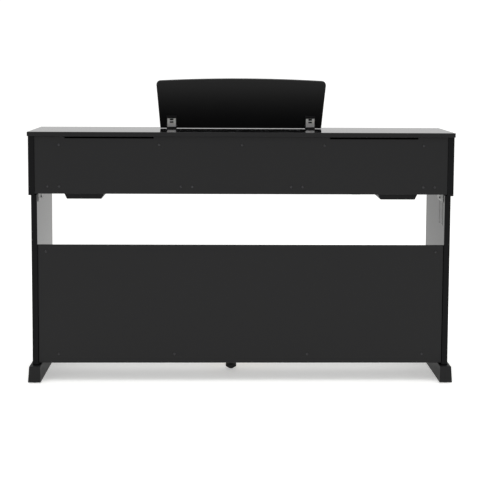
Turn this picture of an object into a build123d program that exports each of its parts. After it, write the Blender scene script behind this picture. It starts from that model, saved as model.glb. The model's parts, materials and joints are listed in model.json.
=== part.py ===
from build123d import *
import math
import os

# Console digital piano with 88 keys on a panel stand. Millimetres, +Z up.
# The player sits on the -Y side; +X is the player's right. The origin is on the
# floor, below the middle of the whole piano.

# ---- driving dimensions ----
TOP_WIDTH = 1360.0          # top board, side to side
TOP_HEIGHT = 811.0          # floor to the upper face of the top board
TOP_THICK = 14.0
REAR = 210.0                # rear edge of the top board and of the feet
FRONT = -210.0              # front ends of the cabinet sides
TOP_FRONT = -55.0           # front edge of the top board

CABINET_HALF = 677.3        # outer faces of the cabinet sides
BOARD = 19.0                # thickness of the cabinet sides and the leg panels
CABINET_LOW = 609.0         # lower edge of the cabinet sides
ARM_TOP = 752.0             # cabinet sides beside the keys
BED_LOW = 613.5             # underside of the keybed
BED_THICK = 15.0
REAR_PANEL_BACK = 204.0
REAR_PANEL_THICK = 12.0
FIT = 0.3                   # gap between a panel and the side that it stands against

LEG_OUTER = 671.3
LEG_BACK = 195.0
LEG_DEPTH = 302.0
FOOT_TOP = 55.0
PAD_HEIGHT = 3.0
PAD_RADIUS = 14.0
BACK_BOARD_LOW = 62.0
BACK_BOARD_HIGH = 446.8
BACK_BOARD_BACK = 192.0
BACK_BOARD_THICK = 12.0
BACK_BOARD_GAP = 0.5        # open joint between the back board and each leg
BACK_BOARD_EDGE = 2.0

KEY_PITCH = 23.5            # one white key and its gap
WHITE_COUNT = 52
KEY_GAP = 1.0
WHITE_FRONT = -186.0
WHITE_HEAD = 50.0           # from the front of a white key to the black keys
KEY_BACK = 44.0
KEY_TOP = 722.0
KEY_DEEP = 20.0
BLACK_RISE = 11.5
BLACK_WIDTH = 11.0
PIVOT_Y = 38.0
PIVOT_Z = 712.0
PIVOT_RADIUS = 3.0
RUNNING = 0.05              # radial clearance of a running fit

COVER_TRAVEL = 140.0
COVER_LOW = 744.0
COVER_THICK = 6.0
COVER_HALF = 650.0
ROLLER_RADIUS = 8.0
SHAFT_Y = 141.0

REST_AXIS_Y = 15.0
REST_AXIS_Z = 820.5
REST_LEAN = 15.0
REST_LENGTH = 162.5         # from the hinge axis to the top edge
REST_BACK = 4.0             # the back face lies this far in front of the hinge axis
REST_THICK = 9.0
REST_HALF_LOW = 270.0
REST_HALF_HIGH = 281.5
SUPPORT_X = 231.7           # middle of each folding support
SUPPORT_WIDTH = 28.6
SUPPORT_LENGTH = 34.0       # from its pivot to its foot
SUPPORT_TURN = 8.0          # angle between a support and the rest when it stands
SUPPORT_ALONG = 28.3        # its pivot, measured up the rest from the hinge
SUPPORT_OFF = 0.5           # its pivot, measured out behind the hinge axis

SPEAKER_X = 507.7
SPEAKER_Y = 75.0
PEDAL_XS = (-60.0, 0.0, 60.0)
PEDAL_AXIS_Y = 75.0
PEDAL_AXIS_Z = 95.0
PEDAL_ROD_RADIUS = 3.0
ADJUSTER_X = 30.0
ADJUSTER_Y = 36.0

# ---- sizes that follow from them ----
TOP_LOW = TOP_HEIGHT - TOP_THICK
INNER_HALF = CABINET_HALF - BOARD
PANEL_HALF = INNER_HALF - FIT
BED_HIGH = BED_LOW + BED_THICK
REAR_PANEL_FRONT = REAR_PANEL_BACK - REAR_PANEL_THICK
LEG_INNER = LEG_OUTER - BOARD
LEG_FRONT = LEG_BACK - LEG_DEPTH
KEYS_HALF = WHITE_COUNT * KEY_PITCH / 2
BLACK_FRONT = WHITE_FRONT + WHITE_HEAD
COVER_HIGH = COVER_LOW + COVER_THICK
COVER_MID = (COVER_LOW + COVER_HIGH) / 2


# ---- helpers ----
def block(x, y, z):
    """A box given by its low and high corner along each axis."""
    box = Box(x[1] - x[0], y[1] - y[0], z[1] - z[0], align=(Align.MIN, Align.MIN, Align.MIN))
    return Pos(x[0], y[0], z[0]) * box


def both_sides(maker):
    """The same piece on the left and on the right."""
    return [maker(-1), maker(1)]


def span(side, low, high):
    """A range of X on the chosen side, low and high measured out from the middle."""
    return (low, high) if side > 0 else (-high, -low)


def rod_x(x, y, z, radius):
    """A round bar along X."""
    return Pos((x[0] + x[1]) / 2, y, z) * Rot(0, 90, 0) * Cylinder(radius, x[1] - x[0])


def rod_y(x, y, z, radius):
    """A round bar along Y."""
    return Pos(x, (y[0] + y[1]) / 2, z) * Rot(90, 0, 0) * Cylinder(radius, y[1] - y[0])


def rod_z(x, y, z, radius):
    """A round bar along Z."""
    return Pos(x, y, (z[0] + z[1]) / 2) * Cylinder(radius, z[1] - z[0])


def side_profile(points, x):
    """A flat outline in Y and Z, drawn out along X."""
    outline = Plane.YZ.offset(x[0]) * Polygon(*points, align=None)
    return extrude(outline, amount=x[1] - x[0], dir=(1, 0, 0))


def front_profile(points, y):
    """A flat outline in X and Z, drawn out along Y."""
    outline = Plane.XZ.offset(-y[0]) * Polygon(*points, align=None)
    return extrude(outline, amount=y[1] - y[0], dir=(0, 1, 0))


def save(node, *solids):
    """Write one node; several solids stay separate solids in it."""
    flat = []
    for solid in solids:
        flat.extend(solid.solids())
    shape = flat[0] if len(flat) == 1 else Compound(children=flat)
    export_step(shape, f"parts/{node}.step")


def edges_at(shape, axis, value):
    """Edges whose middle lies at one value along an axis."""
    return shape.edges().filter_by_position(axis, value - 0.01, value + 0.01)


# ---- stand ----
FOOT_FRONT = -200.0
FOOT_BOTTOM_OUT = 684.4
FOOT_BOTTOM_IN = 643.8
FOOT_TOP_OUT = 680.4
FOOT_TOP_IN = 644.8
FOOT_NOSE = 35.0            # length of the sloping front end
FOOT_NOSE_RISE = 27.0
PAD_INSET = 22.0
EDGE = 1.5                  # rounding of board edges


def foot(side):
    """A bar with sloping sides and a sloping front end."""
    section = [
        (side * FOOT_BOTTOM_IN, PAD_HEIGHT),
        (side * FOOT_BOTTOM_OUT, PAD_HEIGHT),
        (side * FOOT_TOP_OUT, FOOT_TOP),
        (side * FOOT_TOP_IN, FOOT_TOP),
    ]
    bar = front_profile(section, (FOOT_FRONT, REAR))
    nose = [
        (FOOT_FRONT - 1, PAD_HEIGHT + FOOT_NOSE_RISE),
        (FOOT_FRONT, PAD_HEIGHT + FOOT_NOSE_RISE),
        (FOOT_FRONT + FOOT_NOSE, FOOT_TOP),
        (FOOT_FRONT + FOOT_NOSE, FOOT_TOP + 1),
        (FOOT_FRONT - 1, FOOT_TOP + 1),
    ]
    bar -= side_profile(nose, span(side, FOOT_BOTTOM_IN - 1, FOOT_BOTTOM_OUT + 1))
    return fillet(edges_at(bar, Axis.Z, FOOT_TOP), EDGE)


def foot_pads():
    middle = (FOOT_BOTTOM_IN + FOOT_BOTTOM_OUT) / 2
    places = []
    for side in (-1, 1):
        for y in (FOOT_FRONT + PAD_INSET, REAR - PAD_INSET):
            places.append(rod_z(side * middle, y, (0, PAD_HEIGHT), PAD_RADIUS))
    return places


def leg_panel(side):
    panel = block(span(side, LEG_INNER, LEG_OUTER), (LEG_FRONT, LEG_BACK), (FOOT_TOP, CABINET_LOW))
    return fillet(panel.edges().filter_by(Axis.Z), EDGE)


def lower_back_board():
    half = LEG_INNER - BACK_BOARD_GAP
    y = (BACK_BOARD_BACK - BACK_BOARD_THICK, BACK_BOARD_BACK)
    board = block((-half, half), y, (BACK_BOARD_LOW, BACK_BOARD_HIGH))
    return fillet(edges_at(board, Axis.Y, BACK_BOARD_BACK), BACK_BOARD_EDGE)


BRACKET_LENGTH = 100.0
BRACKET_BACK = LEG_BACK - 19.0
BRACKET_LOW = 585.0
BRACKET_REACH = 27.0
SHEET = 2.0                 # sheet steel
LABEL_THICK = 0.4
LABEL_INSET = 26.0
LABEL_WIDTH = 58.0
LABEL_Z = (509.0, 583.0)
BRACKET_SCREW_Y = 128.0
BRACKET_SCREW_Z = 595.0


def leg_bracket(side):
    """An angle of sheet steel that ties the leg to the keybed."""
    y = (BRACKET_BACK - BRACKET_LENGTH, BRACKET_BACK)
    upright = block(span(side, LEG_INNER - SHEET, LEG_INNER), y, (BRACKET_LOW, BED_LOW))
    flange = block(span(side, LEG_INNER - BRACKET_REACH, LEG_INNER), y, (BED_LOW - SHEET, BED_LOW))
    return upright + flange


def blank_label():
    """A plain adhesive label on the inner face of the left leg."""
    y = (LEG_BACK - LABEL_INSET - LABEL_WIDTH, LEG_BACK - LABEL_INSET)
    return block((-LEG_INNER, -LEG_INNER + LABEL_THICK), y, LABEL_Z)


# ---- pedals ----
PEDAL_BOX_FRONT = 15.0
PEDAL_BOX_LOW = 64.0
PEDAL_BOX_HIGH = 130.0
PEDAL_WALL = 8.0
PEDAL_SLOT_HALF = 15.0
PEDAL_SLOT = (78.0, 112.0)
PEDAL_WIDTH = 20.0
PEDAL_THICK = 7.0
PEDAL_TIP = -82.0
PEDAL_HEAD_RADIUS = 15.0
EAR_OFFSET = 16.0
ADJUSTER_SCREW_RADIUS = 5.0
ADJUSTER_WHEEL = (5.0, 17.0)
ADJUSTER_WHEEL_RADIUS = 18.0
ADJUSTER_FOOT_RADIUS = 9.0
ADJUSTER_TOP = 100.0
BRACKET_HALF = 110.0
BRACKET_Y = (26.0, 100.0)
PEDAL_EAR_HALF = 10.0
PEDAL_EAR_TOP = 8.0         # above the pedal axis
SPRING_LENGTH = 4.0
SPRING_GAP = 0.5
SPRING_RADII = (4.2, 6.0)


def pedal_box():
    """A hollow beam between the legs, with a slot for each pedal."""
    y = (PEDAL_BOX_FRONT, BACK_BOARD_BACK - BACK_BOARD_THICK)
    beam = block((-LEG_INNER, LEG_INNER), y, (PEDAL_BOX_LOW, PEDAL_BOX_HIGH))
    inner_y = (y[0] + PEDAL_WALL, y[1] - PEDAL_WALL)
    inner_z = (PEDAL_BOX_LOW + PEDAL_WALL, PEDAL_BOX_HIGH - PEDAL_WALL)
    beam -= block((-LEG_INNER + PEDAL_WALL, LEG_INNER - PEDAL_WALL), inner_y, inner_z)
    for x in PEDAL_XS:
        slot_x = (x - PEDAL_SLOT_HALF, x + PEDAL_SLOT_HALF)
        beam -= block(slot_x, (y[0] - 1, y[0] + PEDAL_WALL + 1), PEDAL_SLOT)
    hole_z = (PEDAL_BOX_LOW - 1, PEDAL_BOX_LOW + PEDAL_WALL + 1)
    return beam - rod_z(ADJUSTER_X, ADJUSTER_Y, hole_z, ADJUSTER_SCREW_RADIUS + RUNNING)


def pedal_bracket():
    """A steel plate with a pair of ears for each pedal."""
    low = PEDAL_BOX_LOW + PEDAL_WALL
    bracket = block((-BRACKET_HALF, BRACKET_HALF), BRACKET_Y, (low, low + SHEET))
    ear_y = (PEDAL_AXIS_Y - PEDAL_EAR_HALF, PEDAL_AXIS_Y + PEDAL_EAR_HALF)
    for x in PEDAL_XS:
        for edge in (-EAR_OFFSET - SHEET, EAR_OFFSET):
            ear_x = (x + edge, x + edge + SHEET)
            bracket += block(ear_x, ear_y, (low, PEDAL_AXIS_Z + PEDAL_EAR_TOP))
    bracket -= rod_x((-BRACKET_HALF, BRACKET_HALF), PEDAL_AXIS_Y, PEDAL_AXIS_Z, PEDAL_ROD_RADIUS)
    return bracket - rod_z(ADJUSTER_X, ADJUSTER_Y, (low - 1, low + SHEET + 1), ADJUSTER_SCREW_RADIUS + 2)


def pedal_springs():
    """Torsion springs beside the pedals, drawn as their outer sleeves."""
    sleeves = []
    for x in PEDAL_XS:
        for edge in (-EAR_OFFSET + SPRING_GAP, EAR_OFFSET - SPRING_GAP - SPRING_LENGTH):
            x_range = (x + edge, x + edge + SPRING_LENGTH)
            sleeve = rod_x(x_range, PEDAL_AXIS_Y, PEDAL_AXIS_Z, SPRING_RADII[1])
            sleeves.append(sleeve - rod_x(x_range, PEDAL_AXIS_Y, PEDAL_AXIS_Z, SPRING_RADII[0]))
    return sleeves


def pedal(x):
    """A flat bar with a round, slightly drooping head."""
    half = PEDAL_WIDTH / 2
    z = (PEDAL_AXIS_Z - PEDAL_THICK / 2, PEDAL_AXIS_Z + PEDAL_THICK / 2)
    head_y = PEDAL_TIP + PEDAL_HEAD_RADIUS
    bar = block((x - half, x + half), (head_y, PEDAL_AXIS_Y), z)
    bar += rod_z(x, head_y, z, PEDAL_HEAD_RADIUS)
    bar = fillet(edges_at(bar, Axis.Z, z[1]), 2.0)
    eye = rod_x((x - half, x + half), PEDAL_AXIS_Y, PEDAL_AXIS_Z, PEDAL_ROD_RADIUS + 4)
    bore = rod_x((x - half - 1, x + half + 1), PEDAL_AXIS_Y, PEDAL_AXIS_Z, PEDAL_ROD_RADIUS + RUNNING)
    return bar + eye - bore


def pedal_adjuster():
    """A hand wheel on a screw; its rubber foot stands on the floor."""
    low, high = ADJUSTER_WHEEL
    foot_part = rod_z(ADJUSTER_X, ADJUSTER_Y, (0, low), ADJUSTER_FOOT_RADIUS)
    wheel = rod_z(ADJUSTER_X, ADJUSTER_Y, (low, high), ADJUSTER_WHEEL_RADIUS)
    wheel = chamfer(edges_at(wheel, Axis.Z, high) + edges_at(wheel, Axis.Z, low), EDGE)
    screw = rod_z(ADJUSTER_X, ADJUSTER_Y, (high, ADJUSTER_TOP), ADJUSTER_SCREW_RADIUS)
    return foot_part + wheel + screw


# ---- cabinet ----
SLOT_X = (280.0, 562.0)
SLOT_Z = (790.6, 795.5)
SHOULDER_RADIUS = 18.0
NOSE_RADIUS = 14.0
BED_FRONT = -190.0
SPEAKER_HOLE_RADIUS = 52.0
SLIP_FRONT = -206.0
SLIP_TOP = 716.0
SLIP_EDGE = 4.0
FASCIA_Y = (-53.0, -43.0)
FELT_Y = (-40.0, -32.0)
FELT_Z = (735.0, 742.7)


def side_panel(side):
    """A cabinet side: full height at the back, a lower arm beside the keys."""
    outline = Polygon(
        (REAR_PANEL_BACK + 2, CABINET_LOW),
        (REAR_PANEL_BACK + 2, TOP_LOW),
        (TOP_FRONT, TOP_LOW),
        (TOP_FRONT, ARM_TOP),
        (FRONT, ARM_TOP),
        (FRONT, CABINET_LOW),
        align=None,
    )
    corner = outline.vertices().sort_by_distance((TOP_FRONT, ARM_TOP, 0))[0]
    outline = fillet(corner, SHOULDER_RADIUS)
    nose = outline.vertices().sort_by_distance((FRONT, ARM_TOP, 0))[0]
    outline = fillet(nose, NOSE_RADIUS)
    x = span(side, INNER_HALF, CABINET_HALF)
    return extrude(Plane.YZ.offset(x[0]) * outline, amount=BOARD, dir=(1, 0, 0))


def top_board():
    board = block((-TOP_WIDTH / 2, TOP_WIDTH / 2), (TOP_FRONT, REAR), (TOP_LOW, TOP_HEIGHT))
    return fillet(board.edges(), EDGE)


def rear_panel():
    y = (REAR_PANEL_FRONT, REAR_PANEL_BACK)
    panel = block((-PANEL_HALF, PANEL_HALF), y, (BED_LOW, TOP_LOW))
    for side in (-1, 1):
        panel -= block(span(side, *SLOT_X), (y[0] - 1, y[1] + 1), SLOT_Z)
    return panel


def keybed():
    bed = block((-PANEL_HALF, PANEL_HALF), (BED_FRONT, REAR_PANEL_FRONT), (BED_LOW, BED_HIGH))
    for side in (-1, 1):
        bed -= rod_z(side * SPEAKER_X, SPEAKER_Y, (BED_LOW - 1, BED_HIGH + 1), SPEAKER_HOLE_RADIUS)
    return bed


def key_slip():
    """The front rail below the white keys."""
    rail = block((-PANEL_HALF, PANEL_HALF), (SLIP_FRONT, BED_FRONT), (BED_LOW, SLIP_TOP))
    return fillet(edges_at(rail, Axis.Z, SLIP_TOP).filter_by(Axis.X), SLIP_EDGE)


def front_fascia():
    """The upright board between the top board and the key cover."""
    return block((-PANEL_HALF, PANEL_HALF), FASCIA_Y, (ARM_TOP, TOP_LOW))


def felt_strip():
    return block((-KEYS_HALF, KEYS_HALF), FELT_Y, FELT_Z)


BLOCK_TOP = 730.0
BLOCK_INNER = KEYS_HALF + 1.5
CONTROL_X = 635.0
BLOCK_REAR = -30.0
BLOCK_EDGE = 1.0
BUTTON_RADIUS = 5.0
BUTTON_BORE = 20.0          # depth of the hole for a button or the knob
BUTTON_DEEP = 14.0
BUTTON_RISE = 2.5
BUTTON_GAP = 0.4
BUTTON_EDGE = 0.8
BUTTON_YS = (-150.0, -128.0, -106.0)
KNOB_Y = -74.0
KNOB_RADIUS = 9.0
KNOB_STEM = 3.0
KNOB_STEM_DEEP = 15.0
KNOB_LIFT = 0.5
KNOB_TOP = 5.0
POINTER_HALF = 0.7
POINTER_REACH = (3.0, 8.0)
POINTER_DEEP = 0.8


def key_block(side):
    """The block at each end of the keys; it carries the controls."""
    x = span(side, BLOCK_INNER, PANEL_HALF)
    body = block(x, (BED_FRONT, BLOCK_REAR), (BED_HIGH, BLOCK_TOP))
    body = fillet(edges_at(body, Axis.Z, BLOCK_TOP), BLOCK_EDGE)
    bore = (BLOCK_TOP - BUTTON_BORE, BLOCK_TOP + 1)
    places = BUTTON_YS if side < 0 else BUTTON_YS[:1]
    for y in places:
        body -= rod_z(side * CONTROL_X, y, bore, BUTTON_RADIUS + BUTTON_GAP)
    if side < 0:
        body -= rod_z(-CONTROL_X, KNOB_Y, bore, KNOB_STEM + RUNNING)
    return body


def button(side, y):
    """A round push button with a rounded cap."""
    top = BLOCK_TOP + BUTTON_RISE
    cap = rod_z(side * CONTROL_X, y, (BLOCK_TOP - BUTTON_DEEP, top), BUTTON_RADIUS)
    return fillet(edges_at(cap, Axis.Z, top), BUTTON_EDGE)


def volume_knob():
    """A knob on a stem, with a groove that points to the setting."""
    top = BLOCK_TOP + KNOB_TOP
    knob = rod_z(-CONTROL_X, KNOB_Y, (BLOCK_TOP + KNOB_LIFT, top), KNOB_RADIUS)
    knob = chamfer(edges_at(knob, Axis.Z, top), BUTTON_EDGE)
    groove_x = (-CONTROL_X - POINTER_HALF, -CONTROL_X + POINTER_HALF)
    groove_y = (KNOB_Y + POINTER_REACH[0], KNOB_Y + POINTER_REACH[1])
    knob -= block(groove_x, groove_y, (top - POINTER_DEEP, top + 1))
    return knob + rod_z(-CONTROL_X, KNOB_Y, (BLOCK_TOP - KNOB_STEM_DEEP, BLOCK_TOP + 1), KNOB_STEM)


# ---- keys ----
FIRST_NOTE = 21             # the lowest A; 60 is the middle C
LAST_NOTE = 108
SINGLE_KEYS = {60: "key_c4", 61: "key_c_sharp4", 62: "key_d4", 63: "key_d_sharp4", 64: "key_e4"}
WHITE_STEPS = {0: 0, 2: 1, 4: 2, 5: 3, 7: 4, 9: 5, 11: 6}
GROUP_SPLIT = 3             # white keys from C to E; four more from F to B
BLACK_CLEAR = 1.2           # gap beside a black key
BLACK_CAP_BACK = -36.0
BLACK_TAPER = 0.8           # inward lean of a black key's sides
BLACK_SLOPE = 6.0           # inward lean of its front end


def octave_left(note):
    """Left end of the octave that holds a note."""
    octaves = note // 12 - FIRST_NOTE // 12
    return -KEYS_HALF - WHITE_STEPS[FIRST_NOTE % 12] * KEY_PITCH + octaves * 7 * KEY_PITCH


def black_centre(note):
    """Black keys share each group of white keys evenly at their backs."""
    step = note % 12
    if step < 5:
        return octave_left(note) + (step + 0.5) * GROUP_SPLIT * KEY_PITCH / 5
    start = octave_left(note) + GROUP_SPLIT * KEY_PITCH
    return start + (step - 5 + 0.5) * (7 - GROUP_SPLIT) * KEY_PITCH / 7


def is_white(note):
    return note % 12 in WHITE_STEPS


def white_key(note):
    """A white key: a full-width head and a tail cut back beside the black keys."""
    left = octave_left(note) + WHITE_STEPS[note % 12] * KEY_PITCH + KEY_GAP / 2
    right = left + KEY_PITCH - KEY_GAP
    reach = BLACK_WIDTH / 2 + BLACK_CLEAR
    tail_left = left
    tail_right = right
    if note > FIRST_NOTE and not is_white(note - 1):
        tail_left = black_centre(note - 1) + reach
    if note < LAST_NOTE and not is_white(note + 1):
        tail_right = black_centre(note + 1) - reach
    z = (KEY_TOP - KEY_DEEP, KEY_TOP)
    shape = block((left, right), (WHITE_FRONT, BLACK_FRONT - BLACK_CLEAR), z)
    shape += block((tail_left, tail_right), (BLACK_FRONT - BLACK_CLEAR - 1, KEY_BACK), z)
    shape = chamfer(edges_at(shape, Axis.Z, KEY_TOP), 0.5)
    return shape - rod_x((left - 1, right + 1), PIVOT_Y, PIVOT_Z, PIVOT_RADIUS + RUNNING)


def black_key_pattern():
    """One black key, at X 0: a tapered cap on a plain lever."""
    top = KEY_TOP + BLACK_RISE
    low = KEY_TOP - 2
    length = BLACK_CAP_BACK - BLACK_FRONT
    middle = BLACK_FRONT + length / 2
    base = Pos(0, middle, low) * Rectangle(BLACK_WIDTH, length)
    crown_shape = Rectangle(BLACK_WIDTH - 2 * BLACK_TAPER, length - BLACK_SLOPE)
    crown = Pos(0, middle + BLACK_SLOPE / 2, top) * crown_shape
    cap = loft([base, crown])
    cap = fillet(edges_at(cap, Axis.Z, top), 1.0)
    half = BLACK_WIDTH / 2
    lever = block((-half, half), (BLACK_FRONT, KEY_BACK), (KEY_TOP - KEY_DEEP + 1, low))
    bore = rod_x((-BLACK_WIDTH, BLACK_WIDTH), PIVOT_Y, PIVOT_Z, PIVOT_RADIUS + RUNNING)
    return cap + lever - bore


def save_keys():
    """Five keys in nodes of their own, and the others as four banks."""
    banks = {"white_keys_bass": [], "white_keys_treble": [], "black_keys_bass": [], "black_keys_treble": []}
    pattern = black_key_pattern()
    for note in range(FIRST_NOTE, LAST_NOTE + 1):
        key = white_key(note) if is_white(note) else Pos(black_centre(note), 0, 0) * pattern
        if note in SINGLE_KEYS:
            save(SINGLE_KEYS[note], key)
            continue
        colour = "white" if is_white(note) else "black"
        end = "bass" if note < min(SINGLE_KEYS) else "treble"
        banks[f"{colour}_keys_{end}"].append(key)
    for node, keys in banks.items():
        save(node, *keys)


HAMMER_RAIL_TOP = 668.0
HAMMER_LEVER = (-70.0, 30.0)
HAMMER_LEVER_THICK = 6.0
HAMMER_HEAD = (6.0, 30.0)
HAMMER_HEAD_Z = (-16.0, 12.0)
FRAME_Y = (-180.0, 12.0)
FRAME_SHEET = 2.5
FRONT_RAIL_Y = (-170.0, -160.0)
FRONT_RAIL_TOP = 690.0
REAR_RAIL_Y = (-20.0, -10.0)
END_BRACKET_Y = (-22.0, 50.0)
END_BRACKET_TOP = 724.0
END_BRACKET_THICK = 5.0


def key_frame():
    """Base plate, rests and end brackets that carry the keys."""
    half = KEYS_HALF + 1
    end = half + END_BRACKET_THICK
    frame = block((-half, half), FRAME_Y, (BED_HIGH, BED_HIGH + FRAME_SHEET))
    frame += block((-half, half), FRONT_RAIL_Y, (BED_HIGH, FRONT_RAIL_TOP))
    frame += block((-half, half), REAR_RAIL_Y, (BED_HIGH, HAMMER_RAIL_TOP))
    for side in (-1, 1):
        frame += block(span(side, half, end), END_BRACKET_Y, (BED_HIGH, END_BRACKET_TOP))
    return frame - rod_x((-end - 1, end + 1), PIVOT_Y, PIVOT_Z, PIVOT_RADIUS)


def hammers():
    """One weighted lever under each key."""
    made = []
    count = LAST_NOTE - FIRST_NOTE + 1
    head_z = (HAMMER_RAIL_TOP + HAMMER_HEAD_Z[0], HAMMER_RAIL_TOP + HAMMER_HEAD_Z[1])
    for index in range(count):
        x = -KEYS_HALF + (index + 0.5) * 2 * KEYS_HALF / count
        lever = block((x - 3, x + 3), HAMMER_LEVER, (HAMMER_RAIL_TOP, HAMMER_RAIL_TOP + HAMMER_LEVER_THICK))
        made.append(lever + block((x - 4.5, x + 4.5), HAMMER_HEAD, head_z))
    return made


# ---- key cover ----
RAIL_INNER = 651.0
RAIL_GAP = 0.3
RAIL_Y = (-42.0, 190.0)
RAIL_THICK = 5.0
SHELF_WIDTH = 7.0
COVER_BACK = 135.0
COVER_EAR_RISE = 3.0
ROLLER_X = (651.5, 656.0)
COVER_EAR = (632.0, 638.0)
COVER_SHAFT_RADIUS = 3.0
LIP = (-66.0, -58.0)
LIP_LOW = 736.0
COVER_EDGE = 5.0            # the lip reaches this much wider than the plate


def cover_rails():
    """Upper and lower running strips on the inner face of each cabinet side."""
    strips = []
    roller_low = COVER_MID - ROLLER_RADIUS - RAIL_GAP
    roller_high = COVER_MID + ROLLER_RADIUS + RAIL_GAP
    rail_low = roller_low - RAIL_THICK
    for side in (-1, 1):
        rail_x = span(side, RAIL_INNER, INNER_HALF)
        shelf_x = span(side, RAIL_INNER - SHELF_WIDTH, RAIL_INNER)
        lower = block(rail_x, RAIL_Y, (rail_low, roller_low))
        strips.append(lower + block(shelf_x, RAIL_Y, (rail_low, COVER_LOW - RAIL_GAP)))
        strips.append(block(rail_x, RAIL_Y, (roller_high, roller_high + RAIL_THICK)))
    return strips


def key_cover():
    """A flat plate with a turned-down front lip and ears for the roller shaft."""
    plate = block((-COVER_HALF, COVER_HALF), (LIP[1] - 2, COVER_BACK), (COVER_LOW, COVER_HIGH))
    half = COVER_HALF + COVER_EDGE
    lip = block((-half, half), LIP, (LIP_LOW, COVER_HIGH + 1.5))
    lip = fillet(lip.edges().filter_by(Axis.X), 2.5)
    cover = plate + lip
    ear_z = (COVER_LOW - COVER_EAR_RISE, COVER_HIGH + COVER_EAR_RISE)
    for side in (-1, 1):
        cover += block(span(side, *COVER_EAR), (COVER_BACK - 2, SHAFT_Y + 6), ear_z)
    return cover - rod_x((-half, half), SHAFT_Y, COVER_MID, COVER_SHAFT_RADIUS + RUNNING)


def cover_shaft():
    """A shaft across the cover with a roller at each end, so that both ends move alike."""
    shaft = rod_x((-ROLLER_X[1], ROLLER_X[1]), SHAFT_Y, COVER_MID, COVER_SHAFT_RADIUS)
    for side in (-1, 1):
        shaft += rod_x(span(side, *ROLLER_X), SHAFT_Y, COVER_MID, ROLLER_RADIUS)
    return shaft


# ---- electronics ----
BOX_TOP_HALF = 66.8
BOX_LOW_HALF = 56.0
BOX_LOW = 590.5
BOX_Y = (0.0, 150.0)
BOX_WALL = 3.0
BOX_EDGE = 3.5
GRILLE_RADIUS = 47.0


def speaker_box(side):
    """A housing under the keybed, with sloping ends and a round opening below."""
    centre = side * SPEAKER_X

    def trapezoid(inset):
        return [
            (centre - BOX_LOW_HALF + inset, BOX_LOW + inset),
            (centre + BOX_LOW_HALF - inset, BOX_LOW + inset),
            (centre + BOX_TOP_HALF - inset, BED_LOW + (1 if inset else 0)),
            (centre - BOX_TOP_HALF + inset, BED_LOW + (1 if inset else 0)),
        ]

    housing = front_profile(trapezoid(0), BOX_Y)
    housing = fillet(edges_at(housing, Axis.Z, BOX_LOW).filter_by(Axis.Y), BOX_EDGE)
    housing -= front_profile(trapezoid(BOX_WALL), (BOX_Y[0] + BOX_WALL, BOX_Y[1] - BOX_WALL))
    return housing - rod_z(centre, SPEAKER_Y, (BOX_LOW - 1, BOX_LOW + BOX_WALL + 1), GRILLE_RADIUS + 0.2)


def speaker_driver(side):
    """Basket, cone and magnet, turned about the driver's own axis."""
    z = BED_HIGH
    section = Polygon(
        (50, z), (62, z), (62, z + 3), (54, z + 4), (34, z + 26), (34, z + 44),
        (0, z + 44), (0, z + 20), (14, z + 18), (44, z + 1),
        align=None,
    )
    body = revolve(Plane.XZ * section, Axis.Z)
    return Pos(side * SPEAKER_X, SPEAKER_Y, 0) * body


def speaker_grille(side):
    return rod_z(side * SPEAKER_X, SPEAKER_Y, (BOX_LOW, BOX_LOW + 2), GRILLE_RADIUS)


JACK_XS = (-585.0, -555.0)
JACK_Z = 601.0
JACK_FRONT = -185.0
JACK_RADIUS = 3.25
JACK_DEPTH = 20.0
JACK_BOX_X = (-610.0, -530.0)
JACK_BOX_LENGTH = 40.0
JACK_BOX_HIGH = 22.0
INLET_X = -380.0
INLET_BACK = 95.0
INLET_Z = 606.0
INLET_RADIUS = 2.8
INLET_DEPTH = 10.0
INLET_HALF = 14.0
INLET_LENGTH = 35.0
BOARD_HALF = 200.0
BOARD_Y = (115.0, 180.0)
BOARD_THICK = 1.6
BOARD_LIFT = 6.0
POST_RADIUS = 3.0
POST_INSET = 8.0
CHIP_Y = 147.0
CHIP_HIGH = 3.0
CHIPS = ((-140.0, 12.0), (-60.0, 18.0), (30.0, 10.0), (120.0, 14.0))


def jack_box():
    """Two headphone sockets that face the player."""
    box = block(JACK_BOX_X, (JACK_FRONT, JACK_FRONT + JACK_BOX_LENGTH), (BED_LOW - JACK_BOX_HIGH, BED_LOW))
    for x in JACK_XS:
        box -= rod_y(x, (JACK_FRONT - 1, JACK_FRONT + JACK_DEPTH), JACK_Z, JACK_RADIUS)
    return box


def power_inlet():
    """The socket for the low-voltage power plug; it faces the rear."""
    x = (INLET_X - INLET_HALF, INLET_X + INLET_HALF)
    body = block(x, (INLET_BACK - INLET_LENGTH, INLET_BACK), (BED_LOW - INLET_HALF, BED_LOW))
    return body - rod_y(INLET_X, (INLET_BACK - INLET_DEPTH, INLET_BACK + 1), INLET_Z, INLET_RADIUS)


def main_board():
    """The circuit board on four posts, with its larger chips."""
    low = BED_HIGH + BOARD_LIFT
    face = low + BOARD_THICK
    board = block((-BOARD_HALF, BOARD_HALF), BOARD_Y, (low, face))
    for x in (-BOARD_HALF + POST_INSET, BOARD_HALF - POST_INSET):
        for y in (BOARD_Y[0] + POST_INSET, BOARD_Y[1] - POST_INSET):
            board += rod_z(x, y, (BED_HIGH, low), POST_RADIUS)
    for x, size in CHIPS:
        board += block((x - size, x + size), (CHIP_Y - size, CHIP_Y + size), (face, face + CHIP_HIGH))
    return board


# ---- screws ----
HEAD_RADIUS = 3.9
HEAD_HEIGHT = 2.2
HEAD_EDGE = 1.2
SHANK_RADIUS = 1.8
SHANK_LENGTH = 10.0
REAR_SCREWS = [(x, 770.0) for x in (0.0, 263.0, 580.0)] + [(x, 637.0) for x in (157.0, 194.0, 580.0, 617.0)]
BACK_BOARD_SCREWS = [(626.0, 426.0), (215.0, 91.5), (587.0, 91.5)]


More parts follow.
